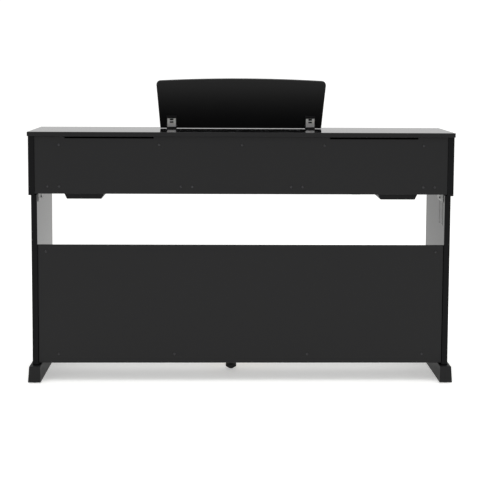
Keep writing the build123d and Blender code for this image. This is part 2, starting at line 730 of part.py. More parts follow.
def screw():
    """A pan-head screw that points along -Y, its seat at Y 0."""
    head = rod_y(0, (0, HEAD_HEIGHT), 0, HEAD_RADIUS)
    head = fillet(edges_at(head, Axis.Y, HEAD_HEIGHT), HEAD_EDGE)
    return head + rod_y(0, (-SHANK_LENGTH, 0), 0, SHANK_RADIUS)


def panel_screws():
    pattern = screw()
    made = []
    for places, y in ((REAR_SCREWS, REAR_PANEL_BACK), (BACK_BOARD_SCREWS, BACK_BOARD_BACK)):
        for x, z in places:
            for side in ((1,) if x == 0 else (-1, 1)):
                made.append(Pos(side * x, y, z) * pattern)
    for side in (-1, 1):
        turned = Rot(0, 0, side * 90) * pattern
        made.append(Pos(side * (LEG_INNER - SHEET), BRACKET_SCREW_Y, BRACKET_SCREW_Z) * turned)
    return made


# ---- music rest ----
def rest_plane(x):
    """A plane across the rest: its x runs up the rest, its y towards the player."""
    lean = math.radians(REST_LEAN)
    up = Vector(0, math.sin(lean), math.cos(lean))
    return Plane(origin=(x, REST_AXIS_Y, REST_AXIS_Z), x_dir=up, z_dir=(1, 0, 0))


def along_rest(outline, x):
    """An outline in the rest's side view, drawn out along X."""
    return extrude(rest_plane(x[0]) * outline, amount=x[1] - x[0], dir=(1, 0, 0))


def rest_point(along, off):
    """Y and Z of a point up the rest from the hinge axis and out behind it."""
    lean = math.radians(REST_LEAN)
    y = REST_AXIS_Y + along * math.sin(lean) + off * math.cos(lean)
    return y, REST_AXIS_Z + along * math.cos(lean) - off * math.sin(lean)


REST_FOOT = -9.8            # the bottom edge lies this far below the hinge axis
REST_STRAIGHT = 60.0        # the lower part is flat, the rest of it curves back
REST_CURVE = 4.0
REST_ARCH = 8.5             # rise of the top edge in the middle
REST_CORNER = 14.0
REST_FOOT_CORNER = 3.0
LEDGE_DEPTH = 20.0
LEDGE_THICK = 4.0
LEDGE_RISE = 12.0           # height of the stop at the ledge's front
LEDGE_HALF = 245.0
EAR_X = (14.7, 16.4)
KNUCKLE_X = (16.7, 18.6)
KNUCKLE_RADIUS = 3.2
HINGE_PIN_RADIUS = 1.8
BASE_REAR = 24.0
BASE_FLOOR = 0.8
BASE_WALL_HALF = 15.6
BASE_WALL_THICK = 2.5
BASE_WALL_TOP = TOP_HEIGHT + 5.5
SUPPORT_BARREL = 3.0
SUPPORT_THICK = 2.4
SUPPORT_PIN_RADIUS = 1.5
SUPPORT_WINDOWS = ((-9.2, -3.2), (-18.0, -12.6))
WINDOW_INSET = 8.3
LUG_X = (14.6, 16.6)
LUG_HALF = 6.0              # half the length of a lug where it meets the rest
HOOD_ALONG = (27.5, 33.2)
HOOD_THICK = 1.5
HOOD_BACK = -5.4


def rest_face(off):
    """One face of the panel in side view: straight at first, then bent back."""
    bend = (REST_STRAIGHT, off)
    straight = Line((REST_FOOT, off), bend)
    return [straight, TangentArc(bend, (REST_LENGTH, off - REST_CURVE), tangent=(1, 0))]


def rest_section():
    """Side section of the panel."""
    front = REST_BACK + REST_THICK
    foot_end = Line((REST_FOOT, REST_BACK), (REST_FOOT, front))
    top_end = Line((REST_LENGTH, REST_BACK - REST_CURVE), (REST_LENGTH, front - REST_CURVE))
    return make_face(Curve() + rest_face(REST_BACK) + rest_face(front) + [foot_end, top_end])


def rest_outline():
    """Front outline: wider at the top, with an arched top edge and round corners."""
    shoulder = REST_LENGTH - REST_ARCH
    sides = [
        Line((-REST_HALF_LOW, REST_FOOT), (REST_HALF_LOW, REST_FOOT)),
        Line((REST_HALF_LOW, REST_FOOT), (REST_HALF_HIGH, shoulder)),
        Line((-REST_HALF_LOW, REST_FOOT), (-REST_HALF_HIGH, shoulder)),
        ThreePointArc((-REST_HALF_HIGH, shoulder), (0, REST_LENGTH), (REST_HALF_HIGH, shoulder)),
    ]
    face = make_face(Curve() + sides)
    for side in (-1, 1):
        corner = face.vertices().sort_by_distance((side * REST_HALF_HIGH, shoulder, 0))[0]
        face = fillet(corner, REST_CORNER)
        foot_corner = face.vertices().sort_by_distance((side * REST_HALF_LOW, REST_FOOT, 0))[0]
        face = fillet(foot_corner, REST_FOOT_CORNER)
    return face


def rest_ledge():
    """The shelf that holds the music, with a low stop along its front."""
    inner = REST_BACK + REST_THICK - 1
    outer = REST_BACK + REST_THICK + LEDGE_DEPTH
    shelf = Polygon(
        (REST_FOOT, inner),
        (REST_FOOT + LEDGE_THICK, inner),
        (REST_FOOT + LEDGE_THICK, outer - LEDGE_THICK),
        (REST_FOOT + LEDGE_RISE, outer - LEDGE_THICK),
        (REST_FOOT + LEDGE_RISE, outer),
        (REST_FOOT, outer),
        align=None,
    )
    return along_rest(shelf, (-LEDGE_HALF, LEDGE_HALF))


def hinge_places(x):
    """The X range of one hinge leaf at each of the four hinges."""
    places = []
    for side in (-1, 1):
        for hand in (-1, 1):
            places.append(sorted((side * SUPPORT_X + hand * x[0], side * SUPPORT_X + hand * x[1])))
    return places


def music_rest():
    """The curved panel with its ledge and the knuckles of its hinges."""
    panel = along_rest(rest_section(), (-REST_HALF_HIGH, REST_HALF_HIGH))
    lean = math.radians(REST_LEAN)
    facing = Plane(
        origin=(0, REST_AXIS_Y, REST_AXIS_Z), x_dir=(1, 0, 0), z_dir=(0, -math.cos(lean), math.sin(lean))
    )
    panel = panel & extrude(facing * rest_outline(), amount=40, both=True)
    panel += rest_ledge()
    arm = Pos(0, (REST_BACK + 1) / 2) * Rectangle(2 * KNUCKLE_RADIUS, REST_BACK + 1)
    for knuckle in hinge_places(KNUCKLE_X):
        panel += along_rest(arm, knuckle)
        panel += rod_x(knuckle, REST_AXIS_Y, REST_AXIS_Z, KNUCKLE_RADIUS)
        panel -= rod_x(knuckle, REST_AXIS_Y, REST_AXIS_Z, HINGE_PIN_RADIUS + RUNNING)
    return panel


def rest_hinge_base(side):
    """A thin foot on the top board with two ears and a low wall behind the support."""
    centre = side * SUPPORT_X
    y = (REST_AXIS_Y - KNUCKLE_RADIUS, BASE_REAR)
    wall_x = (centre - BASE_WALL_HALF, centre + BASE_WALL_HALF)
    base = block((centre - EAR_X[1], centre + EAR_X[1]), y, (TOP_HEIGHT, TOP_HEIGHT + BASE_FLOOR))
    base += block(wall_x, (BASE_REAR - BASE_WALL_THICK, BASE_REAR), (TOP_HEIGHT, BASE_WALL_TOP))
    for hand in (-1, 1):
        ear = sorted((centre + hand * EAR_X[0], centre + hand * EAR_X[1]))
        ear_y = (REST_AXIS_Y - KNUCKLE_RADIUS, REST_AXIS_Y + KNUCKLE_RADIUS)
        base += block(ear, ear_y, (TOP_HEIGHT, REST_AXIS_Z))
        base += rod_x(ear, REST_AXIS_Y, REST_AXIS_Z, KNUCKLE_RADIUS)
        base -= rod_x((ear[0] - 1, ear[1] + 1), REST_AXIS_Y, REST_AXIS_Z, HINGE_PIN_RADIUS)
    return base


def rest_hinge_pins():
    """A pin through each ear and the knuckle beside it."""
    lengths = hinge_places((EAR_X[0], KNUCKLE_X[1]))
    return [rod_x(length, REST_AXIS_Y, REST_AXIS_Z, HINGE_PIN_RADIUS) for length in lengths]


def rest_lug(side):
    """Two lugs on the back of the rest, the pin between them and a hood over the barrel."""
    centre = side * SUPPORT_X
    whole = (centre - LUG_X[1], centre + LUG_X[1])
    pivot_y, pivot_z = rest_point(SUPPORT_ALONG, SUPPORT_OFF)
    lug = rod_x(whole, pivot_y, pivot_z, SUPPORT_PIN_RADIUS)
    foot, head = HOOD_ALONG
    hood = Polygon(
        (head - HOOD_THICK, REST_BACK),
        (head, REST_BACK),
        (head, HOOD_BACK),
        (foot, HOOD_BACK),
        (foot, HOOD_BACK + HOOD_THICK),
        (head - HOOD_THICK, HOOD_BACK + HOOD_THICK),
        align=None,
    )
    cheek = Polygon(
        (SUPPORT_ALONG - LUG_HALF, REST_BACK),
        (SUPPORT_ALONG + LUG_HALF, REST_BACK),
        (head, HOOD_BACK),
        (foot, HOOD_BACK),
        align=None,
    )
    lug += along_rest(hood, whole)
    for hand in (-1, 1):
        lug += along_rest(cheek, sorted((centre + hand * LUG_X[0], centre + hand * LUG_X[1])))
    return lug


def rest_support(side):
    """A pressed plate with two windows, rolled into a barrel at its pivot."""
    half = SUPPORT_WIDTH / 2
    pivot_y, pivot_z = rest_point(SUPPORT_ALONG, SUPPORT_OFF)
    plate = block((-half, half), (-SUPPORT_THICK / 2, SUPPORT_THICK / 2), (-SUPPORT_LENGTH, 0))
    for window in SUPPORT_WINDOWS:
        plate -= block((-half + WINDOW_INSET, half - WINDOW_INSET), (-SUPPORT_THICK, SUPPORT_THICK), window)
    plate += rod_x((-half, half), 0, 0, SUPPORT_BARREL)
    plate -= rod_x((-half - 1, half + 1), 0, 0, SUPPORT_PIN_RADIUS + RUNNING)
    tilt = -(REST_LEAN - SUPPORT_TURN)
    return Pos(side * SUPPORT_X, pivot_y, pivot_z) * Rot(tilt, 0, 0) * plate


# ---- write every node ----
save("foot_left", foot(-1))
save("foot_right", foot(1))
save("foot_pads", *foot_pads())
save("leg_panel_left", leg_panel(-1))
save("leg_panel_right", leg_panel(1))
save("lower_back_board", lower_back_board())
save("leg_brackets", *both_sides(leg_bracket))
save("blank_label", blank_label())
save("pedal_box", pedal_box())
save("pedal_bracket", pedal_bracket())
save("pedal_rod", rod_x((-90, 90), PEDAL_AXIS_Y, PEDAL_AXIS_Z, PEDAL_ROD_RADIUS))
save("pedal_springs", *pedal_springs())
for pedal_name, pedal_x in zip(("pedal_soft", "pedal_sostenuto", "pedal_damper"), PEDAL_XS):
    save(pedal_name, pedal(pedal_x))
save("pedal_adjuster", pedal_adjuster())
save("side_panel_left", side_panel(-1))
save("side_panel_right", side_panel(1))
save("top_board", top_board())
save("rear_panel", rear_panel())
save("keybed", keybed())
save("key_slip", key_slip())
save("front_fascia", front_fascia())
save("felt_strip", felt_strip())
save("key_block_left", key_block(-1))
save("key_block_right", key_block(1))
for button_name, button_y in zip(("voice_button", "song_button", "metronome_button"), BUTTON_YS):
    save(button_name, button(-1, button_y))
save("power_button", button(1, BUTTON_YS[0]))
save("volume_knob", volume_knob())
save_keys()
save("key_pivot_rod", rod_x((-KEYS_HALF - 6, KEYS_HALF + 6), PIVOT_Y, PIVOT_Z, PIVOT_RADIUS))
save("key_frame", key_frame())
save("hammers", *hammers())
save("cover_rails", *cover_rails())
save("key_cover", key_cover())
save("cover_shaft", cover_shaft())
save("speaker_box_left", speaker_box(-1))
save("speaker_box_right", speaker_box(1))
save("speaker_drivers", *both_sides(speaker_driver))
save("speaker_grilles", *both_sides(speaker_grille))
save("jack_box", jack_box())
save("power_inlet", power_inlet())
save("main_board", main_board())
save("panel_screws", *panel_screws())
save("music_rest", music_rest())
save("rest_hinge_bases", *both_sides(rest_hinge_base))
save("rest_hinge_pins", *rest_hinge_pins())
save("rest_lugs", *both_sides(rest_lug))
save("rest_support_left", rest_support(-1))
save("rest_support_right", rest_support(1))
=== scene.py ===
import json
import math

import bmesh
import bpy
from bpy.props import FloatProperty, FloatVectorProperty, IntProperty, PointerProperty
from mathutils import Matrix, Vector


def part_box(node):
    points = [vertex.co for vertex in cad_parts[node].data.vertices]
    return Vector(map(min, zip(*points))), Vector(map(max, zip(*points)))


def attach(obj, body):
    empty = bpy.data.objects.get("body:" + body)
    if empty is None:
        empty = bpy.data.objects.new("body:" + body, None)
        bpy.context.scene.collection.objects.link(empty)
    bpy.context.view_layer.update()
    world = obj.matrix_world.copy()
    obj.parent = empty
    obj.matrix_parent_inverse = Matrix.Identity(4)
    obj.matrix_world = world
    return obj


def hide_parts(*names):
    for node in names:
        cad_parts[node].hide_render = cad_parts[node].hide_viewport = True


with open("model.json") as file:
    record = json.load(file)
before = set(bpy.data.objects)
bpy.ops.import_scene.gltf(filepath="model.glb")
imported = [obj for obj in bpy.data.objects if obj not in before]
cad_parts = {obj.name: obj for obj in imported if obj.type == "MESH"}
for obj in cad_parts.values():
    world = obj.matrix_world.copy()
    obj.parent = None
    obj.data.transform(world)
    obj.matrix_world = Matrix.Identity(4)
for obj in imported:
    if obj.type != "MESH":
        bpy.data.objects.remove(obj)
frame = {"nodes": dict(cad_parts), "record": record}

bl_info = {
    "name": "Console Digital Piano",
    "version": (1, 0, 0),
    "blender": (4, 5, 0),
    "location": "View3D > Sidebar > Piano",
    "description": "Finishes, fine pieces and a studio for a digital piano on a panel stand",
    "category": "Object",
}

ROOT = "piano"
MM = 0.001
MICRON = 0.000001
SAME_POINT = 10 * MICRON            # vertices nearer than this are one
SMOOTH_BELOW = math.radians(35.0)   # gentler edges are shaded smooth
ROW_STEP = math.sqrt(3.0)           # between rows of six-sided cells, in pitches
CELL_REACH = 0.75                   # from the outermost cells' middles to the rim, in pitches
METAL = 1.0                         # the Metallic value of bare metal
UP = (0.0, 0.0, 1.0)

# A screw's outline from its tip to the top of its head: (radius, height) in mm, its seat at 0.
SCREW = (
    (0, -10), (1.8, -8.6), (1.8, 0), (3.9, 0), (3.9, 0.7), (3.7, 1.3), (3.2, 1.8), (2.5, 2.1),
    (2.0, 2.2),
)
SCREW_TOP = SCREW[-1][1] * MM

# Sockets that share their name with another, by their place on the node.
MIX_FACTOR, MIX_FIRST, MIX_SECOND, MIX_RESULT = 0, 6, 7, 2
RANDOM_LEAST, RANDOM_MOST, RANDOM_RESULT = 2, 3, 1


# ------ settings
def colour_setting(name, description, default):
    return FloatVectorProperty(
        name=name, description=description, subtype="COLOR", size=3, min=0.0, max=1.0,
        default=default,
    )


def length_setting(name, description, default):
    return FloatProperty(
        name=name, description=description, unit="LENGTH", min=0.0, default=default, precision=5,
    )


def place_setting(name, description, default):
    return FloatVectorProperty(
        name=name, description=description, subtype="TRANSLATION", unit="LENGTH",
        size=len(default), default=default,
    )


def turn_setting(name, description, degrees):
    return FloatProperty(
        name=name, description=description, unit="ROTATION", default=math.radians(degrees),
    )


def amount_setting(name, description, default, least=0.0):
    return FloatProperty(name=name, description=description, min=least, default=default)


def count_setting(name, description, default, least=0):
    return IntProperty(name=name, description=description, min=least, default=default)


class PianoColours(bpy.types.PropertyGroup):
    """The colours of the piano's finishes."""

    lacquer: colour_setting("Lacquer", "Lacquer on the cabinet and legs", (0.0065, 0.0065, 0.007))
    foil: colour_setting("Foil", "Satin foil on the back panels", (0.0110, 0.0110, 0.0115))
    moulding: colour_setting("Moulding", "Black moulded parts", (0.0085, 0.0085, 0.0090))
    ivory: colour_setting("White Keys", "Plastic of the white keys", (0.80, 0.785, 0.735))
    ebony: colour_setting("Black Keys", "Plastic of the black keys", (0.011, 0.011, 0.011))
    felt: colour_setting("Felt", "Felt strip behind the keys", (0.27, 0.012, 0.020))
    brass: colour_setting("Brass", "Pedals", (0.80, 0.56, 0.22))
    zinc: colour_setting("Zinc", "Plated sheet steel", (0.76, 0.76, 0.75))
    steel: colour_setting("Steel", "Ground steel bars", (0.56, 0.57, 0.58))
    rubber: colour_setting("Rubber", "Pads and the adjuster's foot", (0.018, 0.018, 0.018))
    board: colour_setting("Circuit Board", "Solder resist", (0.012, 0.095, 0.040))
    label: colour_setting("Label", "Plain adhesive label", (0.10, 0.10, 0.10))


class PianoSizes(bpy.types.PropertyGroup):
    """The sizes of the fine pieces."""

    edge: length_setting("Edge Rounding", "Rounding of the sawn board edges", 0.0007)
    grille_pitch: length_setting("Grille Pitch", "Distance between two grille holes", 0.0038)
    grille_hole: length_setting("Grille Hole", "Radius of one grille hole", 0.0013)
    spring_wire: length_setting("Spring Wire", "Radius of the pedal springs' wire", 0.0006)
    spring_turns: amount_setting("Spring Turns", "Turns of one pedal spring", 2.5, 1.0)
    wheel_ribs: count_setting("Wheel Ribs", "Grip ribs round the adjuster wheel", 40, 3)
    dial_ticks: count_setting("Dial Ticks", "Marks round the volume knob", 11, 2)
    seed: count_setting("Seed", "Fixes how far each screw head is turned", 7)


class PianoStage(bpy.types.PropertyGroup):
    """The camera and the light."""

    place: place_setting("Camera", "Where the camera stands", (0.0646, 3.5252, 1.0331))
    yaw: turn_setting("Yaw", "Turn to the side", -1.01)
    pitch: turn_setting("Pitch", "Tilt downwards", 4.46)
    roll: turn_setting("Roll", "Turn of the horizon", 0.28)
    lens: amount_setting("Lens", "Focal length in millimetres", 78.7, 1.0)
    rise: amount_setting("Rise", "Vertical shift of the lens", -0.2, -1.0)
    ambient: amount_setting("Ambient", "Strength of the even light", 0.75)
    backdrop: amount_setting("Backdrop", "Brightness of the background that the camera sees", 1.1)
    glow: amount_setting("Floor Glow", "Light that the studio floor gives off", 0.45)
    softbox: amount_setting("Softbox", "Power of the overhead light in watts", 70.0)
    softbox_width: length_setting("Softbox Width", "Size of the overhead light along X", 4.0)
    softbox_depth: length_setting("Softbox Depth", "Size of the overhead light along Y", 3.0)
    softbox_place: place_setting("Softbox Place", "Where the overhead light hangs", (0.0, 0.6, 3.4))


def colours():
    return bpy.context.scene.piano_colours


def sizes():
    return bpy.context.scene.piano_sizes


# ------ node trees
class Value:
    """A node socket that takes part in Python arithmetic."""

    def __init__(self, tree, socket):
        self.tree = tree
        self.socket = socket

    def maths(self, operation, left, right):
        node = self.tree.nodes.new("ShaderNodeMath")
        node.operation = operation
        for socket, value in zip(node.inputs, (left, right)):
            feed(self.tree, socket, value)
        return Value(self.tree, node.outputs["Value"])

    def __add__(self, other):
        return self.maths("ADD", self, other)

    def __radd__(self, other):
        return self.maths("ADD", other, self)

    def __sub__(self, other):
        return self.maths("SUBTRACT", self, other)

    def __rsub__(self, other):
        return self.maths("SUBTRACT", other, self)

    def __mul__(self, other):
        return self.maths("MULTIPLY", self, other)

    def __rmul__(self, other):
        return self.maths("MULTIPLY", other, self)

    def __gt__(self, other):
        return self.maths("GREATER_THAN", self, other)


def feed(tree, socket, value):
    """Links a socket, or sets its own value."""
    if isinstance(value, Value):
        tree.links.new(value.socket, socket)
    else:
        socket.default_value = value


class Nodes:
    """A node tree that is being built."""

    def __init__(self, tree):
        self.tree = tree

    def node(self, kind, settings=None, values=None, output=0):
        """One node: its settings first, then the values or links of its sockets."""
        node = self.tree.nodes.new(kind)
        for name, setting in (settings or {}).items():
            setattr(node, name, setting)
        for name, value in (values or {}).items():
            feed(self.tree, node.inputs[name], value)
        return Value(self.tree, node.outputs[output])


class Finish(Nodes):
    """A procedural material on Object coordinates."""

    def __init__(self, name, **fixed):
        self.material = bpy.data.materials.new(name)
        self.material.use_nodes = True
        super().__init__(self.material.node_tree)
        self.tree.nodes.clear()
        self.shader = self.tree.nodes.new("ShaderNodeBsdfPrincipled")
        output = self.tree.nodes.new("ShaderNodeOutputMaterial")
        self.tree.links.new(self.shader.outputs["BSDF"], output.inputs["Surface"])
        self.place = self.node("ShaderNodeTexCoord", output="Object")
        for name, value in fixed.items():
            label = name.replace("_", " ").title().replace("Ior", "IOR")
            self.shader.inputs[label].default_value = value

    def stretched(self, scale):
        """Object coordinates scaled by a different amount along each axis."""
        return self.node("ShaderNodeMapping", values={"Vector": self.place, "Scale": scale})

    def noise(self, scale, detail=2.0, rough=0.5, place=None):
        """Cloudy noise from 0 to 1."""
        values = {"Vector": place or self.place, "Scale": scale, "Detail": detail}
        return self.node("ShaderNodeTexNoise", values={**values, "Roughness": rough})

    def cells(self, scale, place=None, output="Distance"):
        """Voronoi cells."""
        values = {"Vector": place or self.place, "Scale": scale}
        return self.node("ShaderNodeTexVoronoi", values=values, output=output)

    def spread(self, value, low, high):
        """A value's middle range, stretched to run from 0 to 1."""
        values = {"Value": value, "From Min": low, "From Max": high}
        return self.node("ShaderNodeMapRange", {"clamp": True}, values)

    def mix(self, first, second, factor):
        """Two colours mixed."""
        values = {MIX_FACTOR: factor}
        for socket, shade in ((MIX_FIRST, first), (MIX_SECOND, second)):
            values[socket] = shade if isinstance(shade, Value) else (*shade, 1.0)
        return self.node("ShaderNodeMix", {"data_type": "RGBA"}, values, MIX_RESULT)

    def shaded(self, base, low, high, factor):
        """A darker and a lighter tint of one colour mixed."""
        return self.mix(tinted(base, low), tinted(base, high), factor)

    def bump(self, height, microns):
        """A relief of the given depth."""
        values = {"Height": height, "Distance": microns * MICRON}
        return self.node("ShaderNodeBump", values=values)

    def use(self, colour, roughness, normal=None, metallic=None):
        """Feeds the shader and returns the material."""
        given = {"Base Color": colour, "Roughness": roughness, "Normal": normal}
        for name, value in {**given, "Metallic": metallic}.items():
            if value is not None:
                feed(self.tree, self.shader.inputs[name], value)
        return self.material


def tinted(colour, amount):
    """A colour made lighter or darker by a factor."""
    return tuple(min(1.0, channel * amount) for channel in colour)


# ------ finishes
def gloss_lacquer(name="gloss_lacquer", level=0.18, tone=1.0, dull=0.0):
    """Polished black polyester: faint waves, a haze of fine wipe marks and a little dust."""
    finish = Finish(name, specular_ior_level=level, coat_roughness=0.03)
    haze = finish.noise(7.0, detail=5.0, rough=0.62)
    wiped = finish.noise(60.0, detail=3.0, rough=0.6, place=finish.stretched((0.25, 1.0, 1.0)))
    dust = finish.spread(finish.noise(900.0, detail=1.0), 0.74, 0.80)
    waves = finish.bump(finish.noise(110.0, detail=1.0), 30)
    base = tinted(colours().lacquer, tone)
    colour = finish.mix(base, tinted(base, 3.0), 0.10 * haze + 0.30 * dust)
    return finish.use(colour, 0.045 + dull + 0.05 * haze + 0.02 * wiped + 0.10 * dust, waves)


def satin_foil(name, level, tone):
    """Black foil on board: a fine pearl grain and a slow unevenness of sheen."""
    finish = Finish(name, specular_ior_level=level)
    grain = finish.noise(1100.0, detail=3.0, rough=0.6)
    pearl = finish.cells(700.0)
    slow = finish.noise(2.3, detail=3.0)
    base = tinted(colours().foil, tone)
    colour = finish.shaded(base, 0.80, 1.25, 0.55 * slow + 0.45 * grain)
    relief = finish.bump(0.6 * grain + 0.4 * pearl, 80)
    return finish.use(colour, 0.40 + 0.12 * grain + 0.10 * slow, relief)


def moulded_plastic():
    """Spark-eroded black moulding."""
    finish = Finish("moulded_plastic", specular_ior_level=0.13)
    grain = finish.noise(1600.0, rough=0.7)
    flow = finish.noise(18.0, detail=3.0)
    base = colours().moulding
    colour = finish.shaded(base, 0.85, 1.5, 0.5 * grain + 0.3 * flow)
    return finish.use(colour, 0.46 + 0.14 * grain, finish.bump(grain, 120))


def zinc_plate(name="zinc_plate", tone=1.0):
    """Bright zinc: soft spangles, rolling lines and a few dull spots."""
    finish = Finish(name)
    spangle = finish.cells(160.0, output="Color")
    rolled = finish.noise(900.0, detail=3.0, rough=0.6, place=finish.stretched((0.05, 1.0, 1.0)))
    dull = finish.spread(finish.noise(45.0, detail=4.0), 0.45, 0.70)
    base = tinted(colours().zinc, tone)
    sheet = finish.shaded(base, 0.86, 1.16, rolled)
    colour = finish.mix(sheet, spangle, 0.05 * tone)
    return finish.use(colour, 0.30 + 0.16 * dull + 0.08 * rolled, finish.bump(rolled, 30), METAL)


def ground_steel():
    """A ground bar: fine rings round the X axis."""
    finish = Finish("ground_steel")
    rings = finish.noise(900.0, detail=3.0, rough=0.7, place=finish.stretched((1.0, 0.03, 0.03)))
    oil = finish.noise(25.0, detail=3.0)
    colour = finish.shaded(colours().steel, 0.8, 1.1, rings)
    return finish.use(colour, 0.22 + 0.18 * rings + 0.06 * oil, finish.bump(rings, 20), METAL)


def spring_steel():
    """Drawn spring wire."""
    finish = Finish("spring_steel")
    drawn = finish.noise(1200.0)
    colour = finish.mix((0.20, 0.20, 0.205), (0.36, 0.36, 0.365), drawn)
    return finish.use(colour, 0.28 + 0.15 * drawn, finish.bump(drawn, 20), METAL)


def black_oxide():
    """Blackened screws, brighter where the driver has rubbed."""
    finish = Finish("black_oxide")
    rubbed = finish.spread(finish.noise(1500.0, detail=3.0, rough=0.6), 0.52, 0.70)
    colour = finish.mix((0.030, 0.030, 0.032), (0.13, 0.13, 0.135), rubbed)
    return finish.use(colour, 0.42 - 0.12 * rubbed, finish.bump(rubbed, 30), 0.75)


def polished_brass():
    """Brass with fine polishing lines along the pedal and faint tarnish."""
    finish = Finish("polished_brass")
    lines = finish.noise(1300.0, rough=0.6, place=finish.stretched((1.0, 0.04, 1.0)))
    tarnish = finish.spread(finish.noise(38.0, detail=5.0, rough=0.6), 0.50, 0.74)
    base = colours().brass
    colour = finish.mix(base, (0.50, 0.31, 0.10), 0.35 * tarnish + 0.10 * lines)
    return finish.use(colour, 0.13 + 0.10 * lines + 0.18 * tarnish, finish.bump(lines, 20), METAL)


def white_key_plastic():
    """Smooth ivory-white plastic with a breath of grain and handling marks."""
    finish = Finish("white_key_plastic", coat_weight=0.35, coat_roughness=0.12)
    grain = finish.noise(420.0, detail=3.0, rough=0.6, place=finish.stretched((1.0, 0.15, 1.0)))
    handled = finish.noise(26.0, detail=4.0)
    base = colours().ivory
    colour = finish.shaded(base, 0.96, 1.03, 0.6 * grain + 0.4 * handled)
    return finish.use(colour, 0.20 + 0.10 * handled + 0.05 * grain, finish.bump(grain, 20))


def black_key_plastic():
    """Matte black plastic with a fine lengthways grain."""
    finish = Finish("black_key_plastic")
    grain = finish.noise(900.0, detail=3.0, rough=0.65, place=finish.stretched((1.0, 0.06, 1.0)))
    worn = finish.spread(finish.noise(40.0, detail=3.0), 0.5, 0.8)
    colour = finish.shaded(colours().ebony, 0.8, 1.7, grain)
    return finish.use(colour, 0.44 - 0.10 * worn + 0.08 * grain, finish.bump(grain, 60))


def pressed_felt():
    """Wool felt: tangled fibres and a soft bloom."""
    finish = Finish("pressed_felt", sheen_weight=0.7, sheen_roughness=0.45, specular_ior_level=0.15)
    fibres = finish.noise(1500.0, detail=4.0, rough=0.75)
    clumps = finish.noise(220.0, detail=3.0)
    base = colours().felt
    colour = finish.shaded(base, 0.6, 1.5, 0.6 * fibres + 0.4 * clumps)
    return finish.use(colour, 0.92, finish.bump(fibres, 500))


def cast_iron():
    """Sand-cast weights, as they come from the mould."""
    finish = Finish("cast_iron")
    sand = finish.noise(700.0, detail=4.0, rough=0.7)
    colour = finish.mix((0.10, 0.10, 0.105), (0.26, 0.26, 0.27), sand)
    return finish.use(colour, 0.55 + 0.2 * sand, finish.bump(sand, 200), 0.8)


def coated_steel():
    """Powder-coated black steel."""
    finish = Finish("coated_steel", specular_ior_level=0.4)
    peel = finish.noise(650.0)
    colour = finish.mix((0.014, 0.014, 0.014), (0.030, 0.030, 0.030), peel)
    return finish.use(colour, 0.48 + 0.12 * peel, finish.bump(peel, 120))


def speaker_paper():
    """Pressed paper cone with rings and fibres."""
    finish = Finish("speaker_paper", specular_ior_level=0.2)
    fibres = finish.noise(1100.0, detail=4.0, rough=0.7)
    colour = finish.mix((0.012, 0.012, 0.012), (0.035, 0.034, 0.032), fibres)
    return finish.use(colour, 0.82, finish.bump(fibres, 250))


def moulded_rubber():
    """Black rubber with a chalky bloom."""
    finish = Finish("moulded_rubber", specular_ior_level=0.3)
    bloom = finish.noise(80.0, detail=5.0, rough=0.65)
    grain = finish.noise(1300.0)
    base = colours().rubber
    colour = finish.shaded(base, 0.7, 1.9, 0.6 * bloom)
    return finish.use(colour, 0.66 + 0.16 * bloom, finish.bump(grain, 120))


def circuit_board():
    """Solder resist over fine straight tracks."""
    finish = Finish("circuit_board", coat_weight=0.3)
    across = finish.cells(190.0, finish.stretched((1.0, 0.12, 1.0)))
    along = finish.cells(170.0, finish.stretched((0.12, 1.0, 1.0)))
    tracks = finish.spread(across - along, 0.05, 0.09)
    base = colours().board
    colour = finish.mix(base, tinted(base, 1.9), tracks)
    return finish.use(colour, 0.34 + 0.10 * tracks, finish.bump(tracks, 60))


def label_film():
    """A blank grey film, lighter in the middle and darker along its two long edges."""
    finish = Finish("label_film", specular_ior_level=0.35)
    laid = finish.noise(1500.0)
    low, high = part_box("blank_label")
    middle = tuple((low + high) / 2)
    half_width = (high.y - low.y) / 2
    settings = {"operation": "SUBTRACT"}
    centred = finish.node("ShaderNodeVectorMath", settings, {0: finish.place, 1: middle})
    sides = finish.node("ShaderNodeVectorMath", {"operation": "ABSOLUTE"}, {0: centred})
    across = finish.node("ShaderNodeSeparateXYZ", values={"Vector": sides}, output="Y")
    # 0 in the middle of the film, rising to 1 near its two long edges, where the colour is darker
    border = finish.spread(across, half_width * 0.52, half_width * 0.60)
    base = colours().label
    colour = finish.shaded(base, 1.3, 0.35, border)
    return finish.use(colour, 0.40 + 0.10 * laid, finish.bump(laid, 40))


def printed_white():
    """Pad-printed marks."""
    finish = Finish("printed_white")
    ink = finish.noise(2500.0)
    return finish.use(finish.mix((0.55, 0.55, 0.55), (0.72, 0.72, 0.72), ink), 0.55 + 0.1 * ink)


def bright_nickel():
    """Nickel-plated ring nuts."""
    finish = Finish("bright_nickel")
    turned = finish.noise(1800.0)
    colour = finish.mix((0.60, 0.59, 0.56), (0.72, 0.71, 0.68), turned)
    return finish.use(colour, 0.16 + 0.12 * turned, finish.bump(turned, 10), METAL)


FINISHES = {}


def finish_of(maker):
    """A material is built once and shared."""
    if maker.__name__ not in FINISHES:
        FINISHES[maker.__name__] = maker()
    return FINISHES[maker.__name__]


def rear_foil():
    """The back panels and the keybed."""
    return satin_foil("rear_foil", level=0.18, tone=0.95)


def foot_lacquer():
    """The feet and the pedal box, less shiny than the cabinet."""
    return satin_foil("foot_lacquer", level=0.17, tone=0.75)


def rest_lacquer():
    """The music rest: a darker and duller lacquer."""
    return gloss_lacquer("rest_lacquer", level=0.22, tone=0.5, dull=0.28)


def leg_lacquer():
    """The legs and the cabinet's sides."""
    return gloss_lacquer("leg_lacquer", level=0.06, tone=0.8)


def bracket_zinc():
    """Darker plating on the angles under the keybed."""
    return zinc_plate("bracket_zinc", tone=0.16)


def dress(maker, *names):
    """Gives CAD nodes a finish in their own slots."""
    for name in names:
        for slot in frame["nodes"][name].material_slots:
            slot.material = finish_of(maker)


